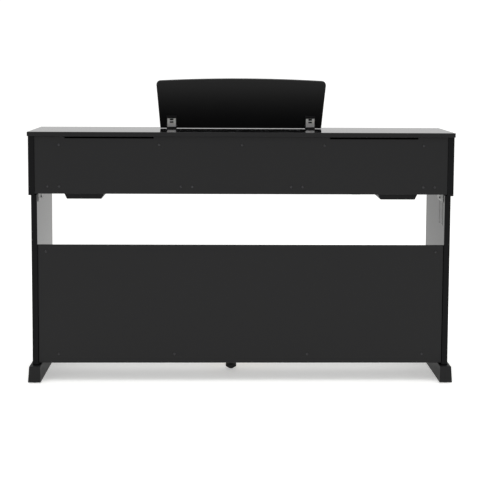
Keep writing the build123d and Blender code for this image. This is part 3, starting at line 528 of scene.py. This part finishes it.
def ease(width, *names):
    """Rounds the sharp edges of CAD nodes with modifiers."""
    settings = {
        "width": width, "segments": 2, "limit_method": "ANGLE", "angle_limit": math.radians(40.0),
        "use_clamp_overlap": True, "harden_normals": True,
    }
    for name in names:
        modifiers = frame["nodes"][name].modifiers
        modifiers.new("merge", "WELD").merge_threshold = SAME_POINT
        bevel = modifiers.new("edge", "BEVEL")
        for setting, value in settings.items():
            setattr(bevel, setting, value)


# ------ geometry rules
class Rule(Nodes):
    """A Geometry Nodes tree with named inputs that ends in Realize Instances and Set Material."""

    def __init__(self, name, inputs):
        super().__init__(bpy.data.node_groups.new(name, "GeometryNodeTree"))
        self.tree.is_modifier = True
        face = self.tree.interface
        face.new_socket("Geometry", in_out="INPUT", socket_type="NodeSocketGeometry")
        face.new_socket("Material", in_out="INPUT", socket_type="NodeSocketMaterial")
        face.new_socket("Geometry", in_out="OUTPUT", socket_type="NodeSocketGeometry")
        for label, kind in inputs.items():
            face.new_socket(label, in_out="INPUT", socket_type=kind)
        self.given = self.tree.nodes.new("NodeGroupInput")

    def input(self, label):
        return Value(self.tree, self.given.outputs[label])

    def shape_of(self, label):
        """The geometry of an object that is given as an input."""
        values = {"Object": self.input(label)}
        return self.node("GeometryNodeObjectInfo", values=values, output="Geometry")

    def points(self, mesh):
        return self.node("GeometryNodeMeshToPoints", values={"Mesh": mesh})

    def vector(self, **parts):
        return self.node("ShaderNodeCombineXYZ", values=parts)

    def placed(self, points, instance, **more):
        """One instance on every point."""
        values = {"Points": points, "Instance": instance, **more}
        return self.node("GeometryNodeInstanceOnPoints", values=values)

    def moved(self, geometry, **how):
        return self.node("GeometryNodeTransform", values={"Geometry": geometry, **how})

    def joined(self, *branches):
        """Several branches of geometry as one."""
        node = self.tree.nodes.new("GeometryNodeJoinGeometry")
        for branch in branches:
            self.tree.links.new(branch.socket, node.inputs["Geometry"])
        return Value(self.tree, node.outputs["Geometry"])

    def end(self, geometry):
        real = self.node("GeometryNodeRealizeInstances", values={"Geometry": geometry})
        values = {"Geometry": real, "Material": self.input("Material")}
        done = self.node("GeometryNodeSetMaterial", values=values)
        output = self.tree.nodes.new("NodeGroupOutput")
        self.tree.links.new(done.socket, output.inputs["Geometry"])
        return self


NUMBER = "NodeSocketFloat"
COUNT = "NodeSocketInt"
PLACE = "NodeSocketVector"
SOURCE = "NodeSocketObject"


def set_out_rule():
    """Copies an object to every seed point, its Z turned to face the point's direction."""
    rule = Rule("Set Out", {"Source": SOURCE, "Random Turn": NUMBER, "Seed": COUNT})
    settings = {"data_type": "FLOAT_VECTOR"}
    facing = rule.node("GeometryNodeInputNamedAttribute", settings, {"Name": "facing"})
    turned = rule.node("FunctionNodeAlignRotationToVector", {"axis": "Z"}, {"Vector": facing})
    values = {RANDOM_LEAST: 0.0, RANDOM_MOST: rule.input("Random Turn"), "Seed": rule.input("Seed")}
    settings = {"data_type": "FLOAT"}
    spin = rule.node("FunctionNodeRandomValue", settings, values, RANDOM_RESULT)
    own = rule.node("FunctionNodeAxisAngleToRotation", values={"Axis": UP, "Angle": spin})
    values = {"Rotation": turned, "Rotate By": own}
    turned = rule.node("FunctionNodeRotateRotation", {"rotation_space": "LOCAL"}, values)
    points = rule.points(rule.input("Geometry"))
    return rule.end(rule.placed(points, rule.shape_of("Source"), Rotation=turned))


def grille_rule():
    """A round sheet of six-sided cells, each with a hole, inside the rim given by Radius."""
    inputs = {"Source": SOURCE, "Rim": SOURCE, "Pitch": NUMBER, "Radius": NUMBER, "Rows": COUNT}
    rule = Rule("Perforated Disc", inputs)
    pitch, rows = rule.input("Pitch"), rule.input("Rows")
    columns = rows * 2.0 - 1.0
    row_pitch = pitch * ROW_STEP
    lattices = []
    for shift in (0.0, 0.5):
        values = {
            "Size X": pitch * (columns - 1.0), "Size Y": row_pitch * (rows - 1.0),
            "Vertices X": columns, "Vertices Y": rows,
        }
        lattice = rule.node("GeometryNodeMeshGrid", values=values)
        values = {"Geometry": lattice, "Offset": rule.vector(X=pitch * shift, Y=row_pitch * shift)}
        lattices.append(rule.node("GeometryNodeSetPosition", values=values))
    lattice = rule.points(rule.joined(*lattices))
    place = rule.node("GeometryNodeInputPosition")
    far = rule.node("ShaderNodeVectorMath", {"operation": "LENGTH"}, {0: place}, output="Value")
    outside = far > rule.input("Radius") - pitch * CELL_REACH
    values = {"Geometry": lattice, "Selection": outside}
    inside = rule.node("GeometryNodeDeleteGeometry", values=values)
    cells = rule.placed(inside, rule.shape_of("Source"))
    sheet = rule.node("GeometryNodeRealizeInstances", values={"Geometry": cells})
    values = {"Geometry": sheet, "Distance": SAME_POINT}
    sheet = rule.node("GeometryNodeMergeByDistance", values=values)
    disc = rule.joined(sheet, rule.shape_of("Rim"))
    return rule.end(rule.placed(rule.points(rule.input("Geometry")), disc))


def spring_rule():
    """A coil of round wire along X at every seed point."""
    rule = Rule("Coil", {"Turns": NUMBER, "Wire": NUMBER, "Radius": NUMBER, "Length": NUMBER})
    wire, length = rule.input("Wire"), rule.input("Length")
    coil_radius = rule.input("Radius") - wire
    values = {
        "Resolution": 24, "Rotations": rule.input("Turns"), "Start Radius": coil_radius,
        "End Radius": coil_radius, "Height": length,
    }
    line = rule.node("GeometryNodeCurveSpiral", values=values)
    values = {"Resolution": 8, "Radius": wire}
    section = rule.node("GeometryNodeCurvePrimitiveCircle", values=values)
    values = {"Curve": line, "Profile Curve": section, "Fill Caps": True}
    coil = rule.node("GeometryNodeCurveToMesh", values=values)
    coil = rule.moved(coil, Translation=rule.vector(Z=length * -0.5))
    coil = rule.moved(coil, Rotation=(0.0, math.pi / 2, 0.0))
    return rule.end(rule.placed(rule.points(rule.input("Geometry")), coil))


def ribbed_wheel_rule():
    """Adds ribs to the seed mesh, evenly spaced round an upright axis through Middle."""
    inputs = {"Ribs": COUNT, "Radius": NUMBER, "Middle": PLACE}
    rule = Rule("Ribbed Wheel", {**inputs, "Rib Width": NUMBER, "Rib Height": NUMBER})
    values = {"Vertices": rule.input("Ribs"), "Radius": rule.input("Radius")}
    ring = rule.node("GeometryNodeMeshCircle", values=values)
    place = rule.node("GeometryNodeInputPosition")
    outwards = rule.node("FunctionNodeAlignRotationToVector", {"axis": "X"}, {"Vector": place})
    width = rule.input("Rib Width")
    size = rule.vector(X=width, Y=width, Z=rule.input("Rib Height"))
    rib = rule.node("GeometryNodeMeshCube", values={"Size": size})
    ribs = rule.placed(ring, rib, Rotation=outwards)
    ribs = rule.moved(ribs, Translation=rule.input("Middle"))
    return rule.end(rule.joined(rule.input("Geometry"), ribs))


def grown(name, seed, rule, material, values):
    """The plain mesh object that a rule makes from a seed mesh."""
    piece = bpy.data.objects.new(name, seed)
    bpy.context.scene.collection.objects.link(piece)
    modifier = piece.modifiers.new("rule", "NODES")
    modifier.node_group = rule.tree
    values = {"Material": material, **values}
    for item in rule.tree.interface.items_tree:
        if item.in_out == "INPUT" and item.name in values:
            modifier[item.identifier] = values[item.name]
    graph = bpy.context.evaluated_depsgraph_get()
    mesh = bpy.data.meshes.new_from_object(piece.evaluated_get(graph))
    piece.modifiers.remove(modifier)
    piece.data = mesh
    mesh.name = name
    if len(mesh.polygons) == 0:
        raise RuntimeError(f"{name} came out empty")
    return piece


# ------ mesh helpers
def solids_of(name):
    """(low corner, high corner) of every separate solid in a CAD node."""
    shape = bmesh.new()
    shape.from_mesh(frame["nodes"][name].data)
    bmesh.ops.remove_doubles(shape, verts=shape.verts, dist=SAME_POINT)
    left = set(shape.verts)
    found = []
    while left:
        group = [left.pop()]
        for vertex in group:
            for edge in vertex.link_edges:
                other = edge.other_vert(vertex)
                if other in left:
                    left.remove(other)
                    group.append(other)
        low = Vector([min(v.co[axis] for v in group) for axis in range(3)])
        high = Vector([max(v.co[axis] for v in group) for axis in range(3)])
        found.append((low, high))
    shape.free()
    return sorted(found, key=lambda corners: tuple(round(value, 5) for value in corners[0]))


def points_mesh(name, places):
    """Loose points, each with the direction that it faces."""
    mesh = bpy.data.meshes.new(name)
    mesh.from_pydata([place for place, _ in places], [], [])
    facing = mesh.attributes.new("facing", "FLOAT_VECTOR", "POINT")
    for index, (_, direction) in enumerate(places):
        facing.data[index].vector = direction
    return mesh


def in_mm(profile):
    """A profile given in millimetres, in metres."""
    return [(radius * MM, height * MM) for radius, height in profile]


def ring_at(shape, radius, height, segments):
    """The vertices of one turned ring, or the single vertex on the axis."""
    if radius == 0.0:
        return [shape.verts.new((0.0, 0.0, height))]
    turns = [2 * math.pi * index / segments for index in range(segments)]
    return [shape.verts.new((radius * math.cos(t), radius * math.sin(t), height)) for t in turns]


def skin(shape, first, second, segments):
    """Faces between two rings, one of which may be a single vertex."""
    for index in range(segments):
        following = (index + 1) % segments
        corners = [first[index % len(first)], first[following % len(first)]]
        corners += [second[following % len(second)], second[index % len(second)]]
        shape.faces.new(list(dict.fromkeys(corners)))


def lathe(shape, profile, segments, matrix=None, closed=True):
    """Turns a profile of (radius, height) points round Z in a bmesh and returns its rings."""
    rings = [ring_at(shape, radius, height, segments) for radius, height in profile]
    for first, second in zip(rings, rings[1:] + rings[:1] if closed else rings[1:]):
        if len(first) > 1 or len(second) > 1:
            skin(shape, first, second, segments)
    if matrix:
        made = [vertex for ring in rings for vertex in ring]
        bmesh.ops.transform(shape, matrix=matrix, verts=made)
    return rings


def mesh_from(shape, name, material=None):
    """Makes a bmesh a mesh, facing outwards, whose gentle edges are shaded smooth."""
    bmesh.ops.recalc_face_normals(shape, faces=shape.faces)
    for face in shape.faces:
        face.smooth = True
    for edge in shape.edges:
        edge.smooth = edge.is_manifold and edge.calc_face_angle(0.0) < SMOOTH_BELOW
    mesh = bpy.data.meshes.new(name)
    shape.to_mesh(mesh)
    shape.free()
    if material:
        mesh.materials.append(material)
    return mesh


def object_from(data):
    """Puts a mesh, a light or a camera in the scene under its own name."""
    piece = bpy.data.objects.new(data.name, data)
    bpy.context.scene.collection.objects.link(piece)
    return piece


def discard(*sources):
    """Removes objects that only served as sources."""
    for source in sources:
        bpy.data.objects.remove(source)


def settle(piece, body, slot, *replaced):
    """Puts a finished piece on its body and hides the CAD nodes that it stands for."""
    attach(piece, body)
    if replaced:
        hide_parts(*replaced)


# ------ fine pieces
def screw_source():
    """A pan-head screw with a cross recess, its head towards +Z."""
    half, arm, depth, taper = 0.42 * MM, 1.55 * MM, 1.2 * MM, 0.7
    shape = bmesh.new()
    rim = lathe(shape, in_mm(SCREW), segments=24, closed=False)[-1]
    outline = []
    for quarter in range(4):
        turn = Matrix.Rotation(quarter * math.pi / 2, 3, "Z")
        for x, y in ((half, half), (half, arm), (-half, arm)):
            outline.append(turn @ Vector((x, y, 0.0)))
    top, bottom = Vector((0.0, 0.0, SCREW_TOP)), Vector((0.0, 0.0, SCREW_TOP - depth))
    mouth = [shape.verts.new(point + top) for point in outline]
    base = [shape.verts.new(point * taper + bottom) for point in outline]
    edges = [shape.edges.new(pair) for pair in zip(mouth, mouth[1:] + mouth[:1])]
    edges += [shape.edges.get(pair) for pair in zip(rim, rim[1:] + rim[:1])]
    bmesh.ops.triangle_fill(shape, use_beauty=True, use_dissolve=False, edges=edges)
    skin(shape, mouth, base, len(mouth))
    shape.faces.new(base)
    return object_from(mesh_from(shape, "screw_source"))


def grille_cell():
    """One six-sided cell of perforated sheet."""
    sides, thick = 12, 0.8 * MM
    shape = bmesh.new()
    rings = []
    for height in (0.0, thick):
        hole = ring_at(shape, sizes().grille_hole, height, sides)
        outline = ring_at(shape, sizes().grille_pitch / 2, height, sides)
        for corner in outline[1::2]:
            corner.co.xy = corner.co.xy * (2 / ROW_STEP)
        rings += [hole, outline]
    low_hole, low_outline, high_hole, high_outline = rings
    skin(shape, low_hole, low_outline, sides)
    skin(shape, high_outline, high_hole, sides)
    skin(shape, high_hole, low_hole, sides)
    return object_from(mesh_from(shape, "grille_cell"))


# ------ operators
class PianoStep:
    """What every step of the piano shares."""

    bl_options = {"REGISTER", "UNDO"}

    def execute(self, context):
        self.build()
        return {"FINISHED"}


class PIANO_OT_cabinet(PianoStep, bpy.types.Operator):
    """Lacquers the cabinet's boards and eases their edges"""

    bl_idname = "piano.cabinet"
    bl_label = "Lacquer the Cabinet"

    def build(self):
        blocks = ("key_block_left", "key_block_right")
        legs = ("leg_panel_left", "leg_panel_right")
        sides = ("side_panel_left", "side_panel_right")
        dress(gloss_lacquer, "top_board", "key_slip", "front_fascia", *blocks)
        dress(leg_lacquer, *legs, *sides)
        dress(rear_foil, "rear_panel", "lower_back_board", "keybed")
        dress(foot_lacquer, "foot_left", "foot_right", "pedal_box")
        ease(sizes().edge, *sides, "rear_panel", "keybed", "front_fascia", "pedal_box")


class PIANO_OT_keys(PianoStep, bpy.types.Operator):
    """Gives the keys their plastics"""

    bl_idname = "piano.keys"
    bl_label = "Finish the Keys"

    def build(self):
        banks = ("white_keys_bass", "white_keys_treble")
        dress(white_key_plastic, *banks, "key_c4", "key_d4", "key_e4")
        banks = ("black_keys_bass", "black_keys_treble")
        dress(black_key_plastic, *banks, "key_c_sharp4", "key_d_sharp4")


class PIANO_OT_action(PianoStep, bpy.types.Operator):
    """Finishes the key frame, the weighted levers and the felt"""

    bl_idname = "piano.action"
    bl_label = "Finish the Action"

    def build(self):
        dress(cast_iron, "hammers")
        dress(zinc_plate, "key_frame")
        dress(ground_steel, "key_pivot_rod")
        dress(pressed_felt, "felt_strip")


class PIANO_OT_cover(PianoStep, bpy.types.Operator):
    """Finishes the sliding key cover, its shaft and its rails"""

    bl_idname = "piano.cover"
    bl_label = "Finish the Key Cover"

    def build(self):
        dress(gloss_lacquer, "key_cover")
        dress(ground_steel, "cover_shaft")
        dress(moulded_plastic, "cover_rails")


class PIANO_OT_controls(PianoStep, bpy.types.Operator):
    """Finishes the buttons and the knob and prints the knob's marks"""

    bl_idname = "piano.controls"
    bl_label = "Finish the Controls"

    def build(self):
        buttons = ("voice_button", "song_button", "metronome_button", "power_button")
        dress(moulded_plastic, "volume_knob", *buttons)
        self.print_marks()

    def print_marks(self):
        """Short strokes round the knob, proud of the block by a thick coat of ink."""
        low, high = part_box("volume_knob")
        middle = (low + high) / 2
        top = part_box("key_block_left")[1].z
        stroke = (2.2 * MM, 0.5 * MM, 0.06 * MM)
        reach = (high.x - low.x) / 2 + 2.6 * MM
        span = math.radians(280.0)
        count = sizes().dial_ticks
        marks = bmesh.new()
        for index in range(count):
            angle = math.pi / 2 - span / 2 + span * index / (count - 1)
            out = Vector((math.cos(angle), math.sin(angle), 0.0)) * reach
            place = Matrix.Translation(Vector((middle.x, middle.y, top + stroke[2] / 2)) + out)
            turned = place @ Matrix.Rotation(angle, 4, "Z") @ Matrix.Diagonal((*stroke, 1.0))
            bmesh.ops.create_cube(marks, size=1.0, matrix=turned)
        piece = object_from(mesh_from(marks, "volume_marks", finish_of(printed_white)))
        settle(piece, ROOT, "label_grey")


class PIANO_OT_music_rest(PianoStep, bpy.types.Operator):
    """Finishes the music rest, its hinges and its folding supports"""

    bl_idname = "piano.music_rest"
    bl_label = "Finish the Music Rest"

    def build(self):
        dress(rest_lacquer, "music_rest")
        dress(moulded_plastic, "rest_hinge_bases", "rest_lugs")
        dress(zinc_plate, "rest_support_left", "rest_support_right", "rest_hinge_pins")


class PIANO_OT_pedals(PianoStep, bpy.types.Operator):
    """Polishes the pedals and winds their springs"""

    bl_idname = "piano.pedals"
    bl_label = "Make the Pedals"

    def build(self):
        dress(polished_brass, "pedal_soft", "pedal_sostenuto", "pedal_damper")
        dress(zinc_plate, "pedal_bracket")
        dress(ground_steel, "pedal_rod")
        coils = solids_of("pedal_springs")
        seeds = [((low + high) / 2, (1.0, 0.0, 0.0)) for low, high in coils]
        low, high = coils[0]
        wire = sizes().spring_wire
        values = {
            "Turns": sizes().spring_turns, "Wire": wire, "Radius": (high.z - low.z) / 2,
            "Length": high.x - low.x - 2 * wire,
        }
        mesh = points_mesh("spring_seeds", seeds)
        piece = grown("pedal_spring_coils", mesh, spring_rule(), finish_of(spring_steel), values)
        settle(piece, ROOT, "spring_steel", "pedal_springs")


class PIANO_OT_adjuster(PianoStep, bpy.types.Operator):
    """Turns the adjuster's foot and screw and ribs its wheel"""

    bl_idname = "piano.adjuster"
    bl_label = "Make the Pedal Adjuster"

    def build(self):
        low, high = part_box("pedal_adjuster")
        middle = (low + high) / 2
        top = high.z / MM
        rib, chamfer, pitch = 1.1, 1.6, 1.5
        grip = (high.x - low.x) / 2 / MM - rib / 2
        body = grip - 0.2
        foot, neck, hub, crest, root = 9.0, 6.5, 7.0, 5.0, 4.4
        wheel_low, wheel_high = 5.0, 17.0
        profile = [
            (0, 0), (foot - 0.8, 0), (foot, 0.8), (foot, 3.6), (neck, wheel_low),
            (body - chamfer, wheel_low), (body, wheel_low + chamfer), (body, wheel_high - chamfer),
            (body - chamfer, wheel_high), (hub, wheel_high), (crest, wheel_high + 0.8),
        ]
        for index in range(int((top - wheel_high - 2 * pitch) / pitch)):
            start = wheel_high + pitch * (index + 1)
            profile += [(root, start + 0.2), (crest, start + 0.75)]
        profile += [(crest - 0.8, top), (0, top)]
        shape = bmesh.new()
        place = Matrix.Translation((middle.x, middle.y, 0.0))
        lathe(shape, in_mm(profile), segments=36, matrix=place)
        seed = mesh_from(shape, "adjuster_body")
        values = {
            "Ribs": sizes().wheel_ribs, "Radius": grip * MM, "Rib Width": rib * MM,
            "Rib Height": (wheel_high - wheel_low - 3.6) * MM,
            "Middle": (middle.x, middle.y, (wheel_low + wheel_high) / 2 * MM),
        }
        rubber = finish_of(moulded_rubber)
        piece = grown("adjuster_wheel", seed, ribbed_wheel_rule(), rubber, values)
        settle(piece, "pedal_adjuster", "rubber_black", "pedal_adjuster")


class PIANO_OT_speakers(PianoStep, bpy.types.Operator):
    """Makes the perforated grilles and the drivers behind them"""

    bl_idname = "piano.speakers"
    bl_label = "Make the Speakers"

    def build(self):
        dress(moulded_plastic, "speaker_box_left", "speaker_box_right")
        self.make_grilles()
        self.make_drivers()

    def make_grilles(self):
        discs = solids_of("speaker_grilles")
        low, high = discs[0]
        radius, thick = (high.x - low.x) / 2 / MM, (high.z - low.z) / MM
        inner, rounding = radius - 2.6, 0.4
        profile = [
            (inner, 0.2), (inner + rounding, 0), (radius - rounding, 0), (radius, rounding),
            (radius, thick), (inner, thick),
        ]
        shape = bmesh.new()
        lathe(shape, in_mm(profile), segments=64)
        cell, rim = grille_cell(), object_from(mesh_from(shape, "grille_rim"))
        seeds = [(Vector(((a.x + b.x) / 2, (a.y + b.y) / 2, a.z)), UP) for a, b in discs]
        pitch = sizes().grille_pitch
        values = {
            "Source": cell, "Rim": rim, "Pitch": pitch, "Radius": radius * MM,
            "Rows": 2 * math.ceil(radius * MM / (ROW_STEP * pitch)) + 1,
        }
        mesh = points_mesh("grille_seeds", seeds)
        steel = finish_of(coated_steel)
        piece = grown("speaker_grille_sheets", mesh, grille_rule(), steel, values)
        discard(cell, rim)
        settle(piece, ROOT, "grille_black", "speaker_grilles")

    def make_drivers(self):
        """A basket with its magnet, and a paper diaphragm with a rolled surround and a dust cap."""
        shape = bmesh.new()
        for low, high in solids_of("speaker_drivers"):
            middle = (low + high) / 2
            place = Matrix.Translation((middle.x, middle.y, low.z))
            outer = (high.x - low.x) / 2 / MM
            tall = (high.z - low.z) / MM
            basket = [
                (outer - 11, 0), (outer, 0), (outer, 3), (outer - 9, 4), (outer - 29, 26),
                (outer - 28, 27), (outer - 28, tall - 1), (outer - 29, tall), (0, tall), (0, 21),
            ]
            roll, roll_width, roll_height = outer - 20, 4, 0.9
            diaphragm = [(0, 12), (6, 12.8), (11, 15.5), (13, 18), (14, 17.5)]
            for step in range(9):
                angle = math.pi * step / 8
                height = 1.2 - roll_height * math.sin(angle)
                diaphragm.append((roll - roll_width * math.cos(angle), height))
            diaphragm += [(outer - 16, 2.5), (outer - 24, 2.5), (14, 19), (0, 20.5)]
            for profile in (basket, diaphragm):
                lathe(shape, in_mm(profile), segments=48, matrix=place)
        piece = object_from(mesh_from(shape, "speaker_driver_pair", finish_of(speaker_paper)))
        settle(piece, ROOT, "driver_black", "speaker_drivers")


class PIANO_OT_sockets(PianoStep, bpy.types.Operator):
    """Finishes the sockets and adds the ring nuts of the headphone sockets"""

    bl_idname = "piano.sockets"
    bl_label = "Finish the Sockets"

    def build(self):
        dress(moulded_plastic, "jack_box", "power_inlet")
        dress(circuit_board, "main_board")
        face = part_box("jack_box")[0].y
        places = []
        for mount in frame["record"]["mounts"]:
            if mount["name"].startswith("headphone"):
                bore = mount["dims"]["r_mm"]
                place = Vector((mount["pos_m"][0], face, mount["pos_m"][2]))
                places.append((place, tuple(mount["axis"])))
        inner, outer, flat, top = bore + 0.15, bore + 2.6, 0.9, 1.4
        profile = [
            (inner, 0), (outer, 0), (outer, flat), (outer - 0.5, top), (bore + 0.6, top),
            (inner, 1),
        ]
        shape = bmesh.new()
        lathe(shape, in_mm(profile), segments=32)
        source = object_from(mesh_from(shape, "ring_nut_source"))
        values = {"Source": source, "Random Turn": 0.0, "Seed": 0}
        mesh = points_mesh("nut_seeds", places)
        piece = grown("socket_ring_nuts", mesh, set_out_rule(), finish_of(bright_nickel), values)
        discard(source)
        settle(piece, ROOT, "zinc_steel")


class PIANO_OT_hardware(PianoStep, bpy.types.Operator):
    """Makes the screws and finishes the brackets, the pads and the label"""

    bl_idname = "piano.hardware"
    bl_label = "Make the Hardware"

    def build(self):
        dress(bracket_zinc, "leg_brackets")
        dress(moulded_rubber, "foot_pads")
        dress(label_film, "blank_label")
        source = screw_source()
        places = [self.seat(low, high) for low, high in solids_of("panel_screws")]
        values = {"Source": source, "Random Turn": math.pi / 2, "Seed": sizes().seed}
        mesh = points_mesh("screw_seeds", places)
        piece = grown("screw_set", mesh, set_out_rule(), finish_of(black_oxide), values)
        discard(source)
        settle(piece, ROOT, "screw_black", "panel_screws")

    def seat(self, low, high):
        """Where a screw's head sits and which way it faces."""
        middle = (low + high) / 2
        if high.y - low.y > high.x - low.x:
            return Vector((middle.x, high.y - SCREW_TOP, middle.z)), (0.0, 1.0, 0.0)
        if middle.x > 0:
            return Vector((low.x + SCREW_TOP, middle.y, middle.z)), (-1.0, 0.0, 0.0)
        return Vector((high.x - SCREW_TOP, middle.y, middle.z)), (1.0, 0.0, 0.0)


class PIANO_OT_stage(PianoStep, bpy.types.Operator):
    """Sets up the floor, the light and the camera"""

    bl_idname = "piano.stage"
    bl_label = "Set Up the Studio"

    def build(self):
        stage = bpy.context.scene.piano_stage
        self.lay_floor(stage)
        self.light(stage)
        self.place_camera(stage)
        bpy.context.scene.view_settings.view_transform = "Standard"

    def lay_floor(self, stage):
        reach = 30.0
        shape = bmesh.new()
        bmesh.ops.create_grid(shape, x_segments=1, y_segments=1, size=reach)
        floor = Finish("studio_floor", emission_strength=stage.glow)
        shade = floor.mix((0.90, 0.90, 0.89), (0.92, 0.92, 0.91), floor.noise(1.5))
        feed(floor.tree, floor.shader.inputs["Emission Color"], shade)
        material = floor.use(shade, 0.8)
        object_from(mesh_from(shape, "studio_floor", material))

    def light(self, stage):
        """Even light all round, a brighter backdrop for the camera, and a softbox overhead."""
        world = bpy.data.worlds.new("studio")
        world.use_nodes = True
        bpy.context.scene.world = world
        backdrop = Nodes(world.node_tree)
        shader = world.node_tree.nodes["Background"]
        seen = backdrop.node("ShaderNodeLightPath", output="Is Camera Ray")
        strength = stage.ambient + seen * (stage.backdrop - stage.ambient)
        feed(backdrop.tree, shader.inputs["Color"], (1.0, 1.0, 1.0, 1.0))
        feed(backdrop.tree, shader.inputs["Strength"], strength)
        lamp = bpy.data.lights.new("overhead_softbox", "AREA")
        lamp.shape = "RECTANGLE"
        lamp.size = stage.softbox_width
        lamp.size_y = stage.softbox_depth
        lamp.energy = stage.softbox
        object_from(lamp).location = stage.softbox_place

    def place_camera(self, stage):
        camera = object_from(bpy.data.cameras.new("camera"))
        camera.data.sensor_width = 36.0
        camera.data.lens = stage.lens
        camera.data.shift_y = stage.rise
        turn = Matrix.Rotation(math.pi + stage.yaw, 4, "Z")
        tilt = Matrix.Rotation(math.pi / 2 - stage.pitch, 4, "X")
        roll = Matrix.Rotation(stage.roll, 4, "Z")
        camera.matrix_world = Matrix.Translation(stage.place) @ turn @ tilt @ roll
        bpy.context.scene.camera = camera


STEPS = (
    PIANO_OT_cabinet,
    PIANO_OT_keys,
    PIANO_OT_action,
    PIANO_OT_cover,
    PIANO_OT_controls,
    PIANO_OT_music_rest,
    PIANO_OT_pedals,
    PIANO_OT_adjuster,
    PIANO_OT_speakers,
    PIANO_OT_sockets,
    PIANO_OT_hardware,
    PIANO_OT_stage,
)


class PIANO_PT_sidebar(bpy.types.Panel):
    """Lists the piano's settings and steps"""

    bl_idname = "PIANO_PT_sidebar"
    bl_label = "Console Piano"
    bl_space_type = "VIEW_3D"
    bl_region_type = "UI"
    bl_category = "Piano"

    def draw(self, context):
        scene = context.scene
        for group in (scene.piano_colours, scene.piano_sizes, scene.piano_stage):
            box = self.layout.box()
            for name in group.__annotations__:
                box.prop(group, name)
        for step in STEPS:
            self.layout.operator(step.bl_idname)


CLASSES = (PianoColours, PianoSizes, PianoStage, *STEPS, PIANO_PT_sidebar)


def register():
    for kind in CLASSES:
        bpy.utils.register_class(kind)
    bpy.types.Scene.piano_colours = PointerProperty(type=PianoColours)
    bpy.types.Scene.piano_sizes = PointerProperty(type=PianoSizes)
    bpy.types.Scene.piano_stage = PointerProperty(type=PianoStage)


def unregister():
    del bpy.types.Scene.piano_stage
    del bpy.types.Scene.piano_sizes
    del bpy.types.Scene.piano_colours
    for kind in reversed(CLASSES):
        bpy.utils.unregister_class(kind)


def main():
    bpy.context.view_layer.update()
    register()
    for step in STEPS:
        group, name = step.bl_idname.split(".")
        getattr(getattr(bpy.ops, group), name)()


if __name__ == "__main__":
    main()
